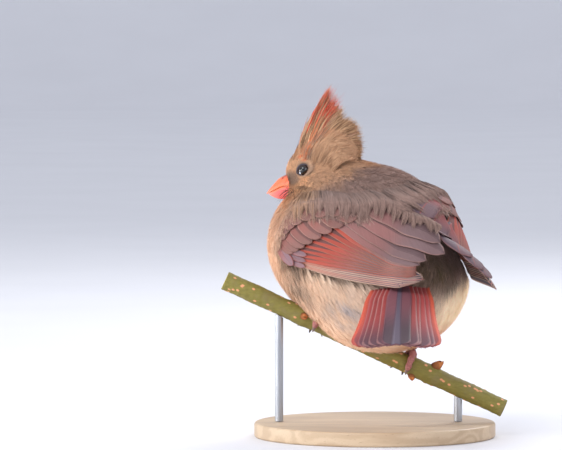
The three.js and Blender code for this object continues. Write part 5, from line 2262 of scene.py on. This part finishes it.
@dataclass(frozen=True)
class Stand:
    """The plain display stand: a wooden disc and two steel rods.

    Attributes:
        radius: The disc's radius.
        height: Its height.
        bevel: Rounding of its edges.
    """

    radius: float = 58
    height: float = 7
    bevel: float = 1.2

    def shape(self, share: Array, turn: Array) -> Array:
        """Returns points from the underside's middle, round the edge, to the top's middle."""
        b, angles = self.bevel, np.linspace(0, math.pi / 2, 7)
        lower = [(self.radius - b + b * math.sin(a), b - b * math.cos(a)) for a in angles]
        upper = [(self.radius - b + b * math.cos(a), self.height - b + b * math.sin(a)) for a in angles]
        outline = np.array([(0, 0), *lower, *upper, (0, self.height)])
        place = share * (len(outline) - 1)
        radius = np.interp(place, np.arange(len(outline)), outline[:, 0])
        level = np.interp(place, np.arange(len(outline)), outline[:, 1])
        angle = turn * 2 * np.pi
        return stack(np.cos(angle) * radius, np.sin(angle) * radius, level)

    def wood(self) -> Material:
        """Returns the finish of the pale wood."""
        s = Surface("stand_wood")
        place = s.place()
        grain = s.vector("MULTIPLY", place, (0.07, 1, 1))
        bend = s.times(s.noise(grain, 36, 2), 60)
        lines = s.math("SINE", s.math("ADD", bend, s.times(s.noise(grain, 420, 3), 4)))
        colour = s.mix(s.ramp(lines, -1, 1), srgb(188, 162, 132), srgb(202, 178, 148))
        pores = s.ramp(s.noise(grain, 2600, 2), 0.62, 0.72, 0, 0.4)
        colour = s.mix(pores, colour, srgb(128, 98, 72))
        rough = s.ramp(lines, -1, 1, 0.42, 0.5)
        return s.made(colour, rough, s.bump(s.noise(grain, 2600, 2), 0.2, 0.0002))

    def steel(self) -> Material:
        """Returns the finish of the rods."""
        s = Surface("stand_steel")
        place = s.place()
        drawn = s.noise(s.vector("MULTIPLY", place, (1, 1, 0.02)), 3000, 3)
        colour = s.mix(drawn, srgb(150, 152, 156), srgb(190, 192, 196))
        return s.made(colour, s.ramp(drawn, 0.3, 0.7, 0.28, 0.4), more={"Metallic": 1.0})

    def build(self, nodes: dict[str, Piece]) -> Piece:
        """Makes the disc and gives the rods their finish."""
        disc = shell("stand_disc", 15, 96, self.shape, (self.wood(), "stand_wood"), "stand_base")
        steel = self.steel()
        for name in ("stand_rod_left", "stand_rod_right"):
            for slot in nodes[name].material_slots:
                slot.material = steel
        return disc


@dataclass(frozen=True)
class Fringe:
    """Loose barbs of the mantle that hang over the upper edges of the wings.

    Attributes:
        count: Barbs over each wing.
    """

    count: int = 9500

    def build(self, lie: Lie, material: Material) -> Piece:
        """Makes the fringe: strips from the mantle, over the wing's edge and down the wing."""
        rng = np.random.default_rng(SEED + 7)
        share = np.tile(np.linspace(0, 1, 6), (self.count, 1))
        strips = []
        edges = (("left", 0.86, 0.27, 5.2, 6.0, 0.13), ("right", 0.7, 0.2, 3.8, 6.4, 0.08))
        for side, reach, deep, rise, rise_inner, inner in edges:
            read = WingSurface(WING_PLACES[side]).reader()
            start = rng.uniform(0.0, reach, self.count)
            edge = 1.0 + inner * step(start, 0.34, 0.5)
            tuft = 0.55 + 0.25 * np.sin(start * 71) + 0.2 * np.sin(start * 173 + 1)
            drop = rng.uniform(0.05, 1, self.count) ** 1.3 * deep * tuft * (1.3 - 0.9 * start)
            top = rise + (rise_inner - rise) * step(start, 0.38, 0.5) + rng.uniform(-1.0, 0.5, self.count)
            root = read(start, edge + 0.04, top * 0)
            outward = PLUMAGE.outward(root)
            back = rng.uniform(2.5, 11, self.count)[:, None]
            depth = rng.uniform(-0.8, 0.4, self.count)
            root = PLUMAGE.settle(root - lie.direction(root, outward) * back, depth)
            over = read(start + 0.01, edge + 0.02, top)
            end = read(start + 0.03 + drop * 0.2, edge - 0.04 - drop, top * 0.93)
            path = bent(root, over, end, share)
            low = np.maximum(0.4 * share - PLUMAGE.distance(path), 0)[..., None]
            path = path + PLUMAGE.outward(path) * low
            normals = PLUMAGE.outward(path)
            sides = Coat.rolled(beside(path, normals), normals, 0.9, rng)
            width = np.outer(rng.uniform(0.12, 0.26, self.count), (0.6, 1, 1, 0.8, 0.5, 0))
            strips.append(Strips(path, sides, width, share, rng.random(self.count), root))
        return strips_object("wing_fringe", strips, material, "plumage_mantle")


# Studio


def floor_sweep(share: Array, turn: Array) -> Array:
    """Returns points of a round floor that curves up into a low wall, far from the bird."""
    flat, bend, rise = 5200, 1500, 900
    run = share * (flat + bend * math.pi / 2 + rise)
    angle = np.clip((run - flat) / bend, 0, math.pi / 2)
    wall = np.maximum(run - flat - bend * math.pi / 2, 0)
    reach = np.minimum(run, flat) + bend * np.sin(angle)
    heading = turn * 2 * math.pi
    height = bend * (1 - np.cos(angle)) + wall
    return stack(np.cos(heading) * reach, np.sin(heading) * reach, height)


def studio() -> None:
    """Adds the floor, the world and the lights."""
    bm = bmesh.new()
    mapped(bm, 60, 72, floor_sweep)
    bmesh.ops.remove_doubles(bm, verts=bm.verts, dist=0.5)
    mesh = finish_bmesh(bm, "floor")
    floor = bpy.data.objects.new("floor", mesh)
    link(floor)
    s = Surface("floor_paint")
    colour = s.mix(s.noise(s.place(), 8, 2), srgb(222, 222, 226), srgb(228, 228, 232))
    mesh.materials.append(s.made(colour, 0.9))

    world = bpy.data.worlds.new("studio")
    bpy.context.scene.world = world
    world.use_nodes = True
    background = world.node_tree.nodes["Background"]
    background.inputs["Color"].default_value = srgb(226, 230, 240)
    background.inputs["Strength"].default_value = 1.0
    bpy.context.scene.view_settings.view_transform = "Standard"
    for name, place, size, power in (
        ("key", (-0.7, -1.1, 1.3), 0.9, 15),
        ("fill", (1.0, -1.0, 0.5), 1.0, 5),
        ("rim", (0.5, 0.9, 0.9), 0.7, 8),
        ("low", (-0.8, -0.7, 0.1), 0.5, 4),
        ("bounce", (-0.42, 0.0, 0.04), 0.24, 0.9),
    ):
        light = bpy.data.lights.new(name, "AREA")
        light.shape = "DISK"
        light.size = size
        light.energy = power
        lamp = bpy.data.objects.new(name, light)
        lamp.location = place
        lamp.visible_camera = False
        lamp.rotation_euler = (Vector((0, 0, 0.09)) - Vector(place)).to_track_quat("-Z", "Y").to_euler()
        link(lamp)


@dataclass(frozen=True)
class PhotoCamera:
    """The camera at the photograph's viewing angle and framing.

    Attributes:
        elevation: Height over the horizon, in degrees.
        distance: Distance to the plane through the perch, in metres.
        scale: Metres to a pixel at that distance.
        middle: The place that the image's middle shows.
        image_width: Width of the image in pixels.
        sensor: Width of the sensor in millimetres.
    """

    elevation: float = 3
    distance: float = 2.5
    scale: float = 0.00048
    middle: Place = (-0.04512, 0.0, 0.10176)
    image_width: int = 562
    sensor: float = 36

    def build(self) -> None:
        """Makes the camera."""
        camera = bpy.data.cameras.new("camera")
        camera.sensor_width = self.sensor
        camera.lens = self.sensor * self.distance / (self.image_width * self.scale)
        camera.clip_end = 20
        rise = math.radians(self.elevation)
        back = Vector((0, -math.cos(rise), math.sin(rise))) * self.distance
        holder = bpy.data.objects.new("camera", camera)
        holder.location = Vector(self.middle) + back
        holder.rotation_euler = (math.pi / 2 - rise, 0, 0)
        link(holder)
        bpy.context.scene.camera = holder


def main() -> None:
    """Builds the scene in order and reports each piece."""
    logging.basicConfig(level=logging.INFO, format="%(message)s")
    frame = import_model()
    PhotoCamera().build()
    studio()
    markings, pattern = markings_group(), vane_group()
    finishes = {tier: tier.value.build(pattern) for tier in Tier}
    lie = Lie()
    coat = CoatFinish("coat", True).build(markings)
    skin = Skin().build(CoatFinish("skin", False).build(markings), lie)
    pieces = [skin]
    pieces += Wing("left").build(finishes)
    pieces += Wing("right").build(finishes)
    pieces += Tail().build(finishes)
    pieces += Coat(lie, Cover()).build(skin, coat)
    # The fringe takes a darker copy of the coat's finish, as painted shade, with a wider spread of tones.
    pieces.append(Fringe().build(lie, CoatFinish("fringe", True, 0.86, 0.34).build(markings)))
    strand = StrandFinish("crest_barb", srgb(112, 82, 58), srgb(216, 174, 136), srgb(214, 84, 64), 0.8)
    pieces += Crest().build(finishes[Tier.CREST], finishes[Tier.CREST_RED], strand.build())
    pieces.append(Crest().crown(coat))
    pieces += Bill().build()
    pieces += Eyes().build(coat)
    pieces.append(Bristles().build())
    perch = Perch()
    pieces += perch.build()
    foot_skin, claw_horn = foot_materials()
    pieces += Foot("left", -29).build(perch, foot_skin, claw_horn)
    pieces += Foot("right", 15.5).build(perch, foot_skin, claw_horn)
    pieces.append(Stand().build(frame["nodes"]))
    for piece in pieces:
        log.info("%s: %d faces", piece.name, len(piece.data.polygons))


if __name__ == "__main__":
    main()
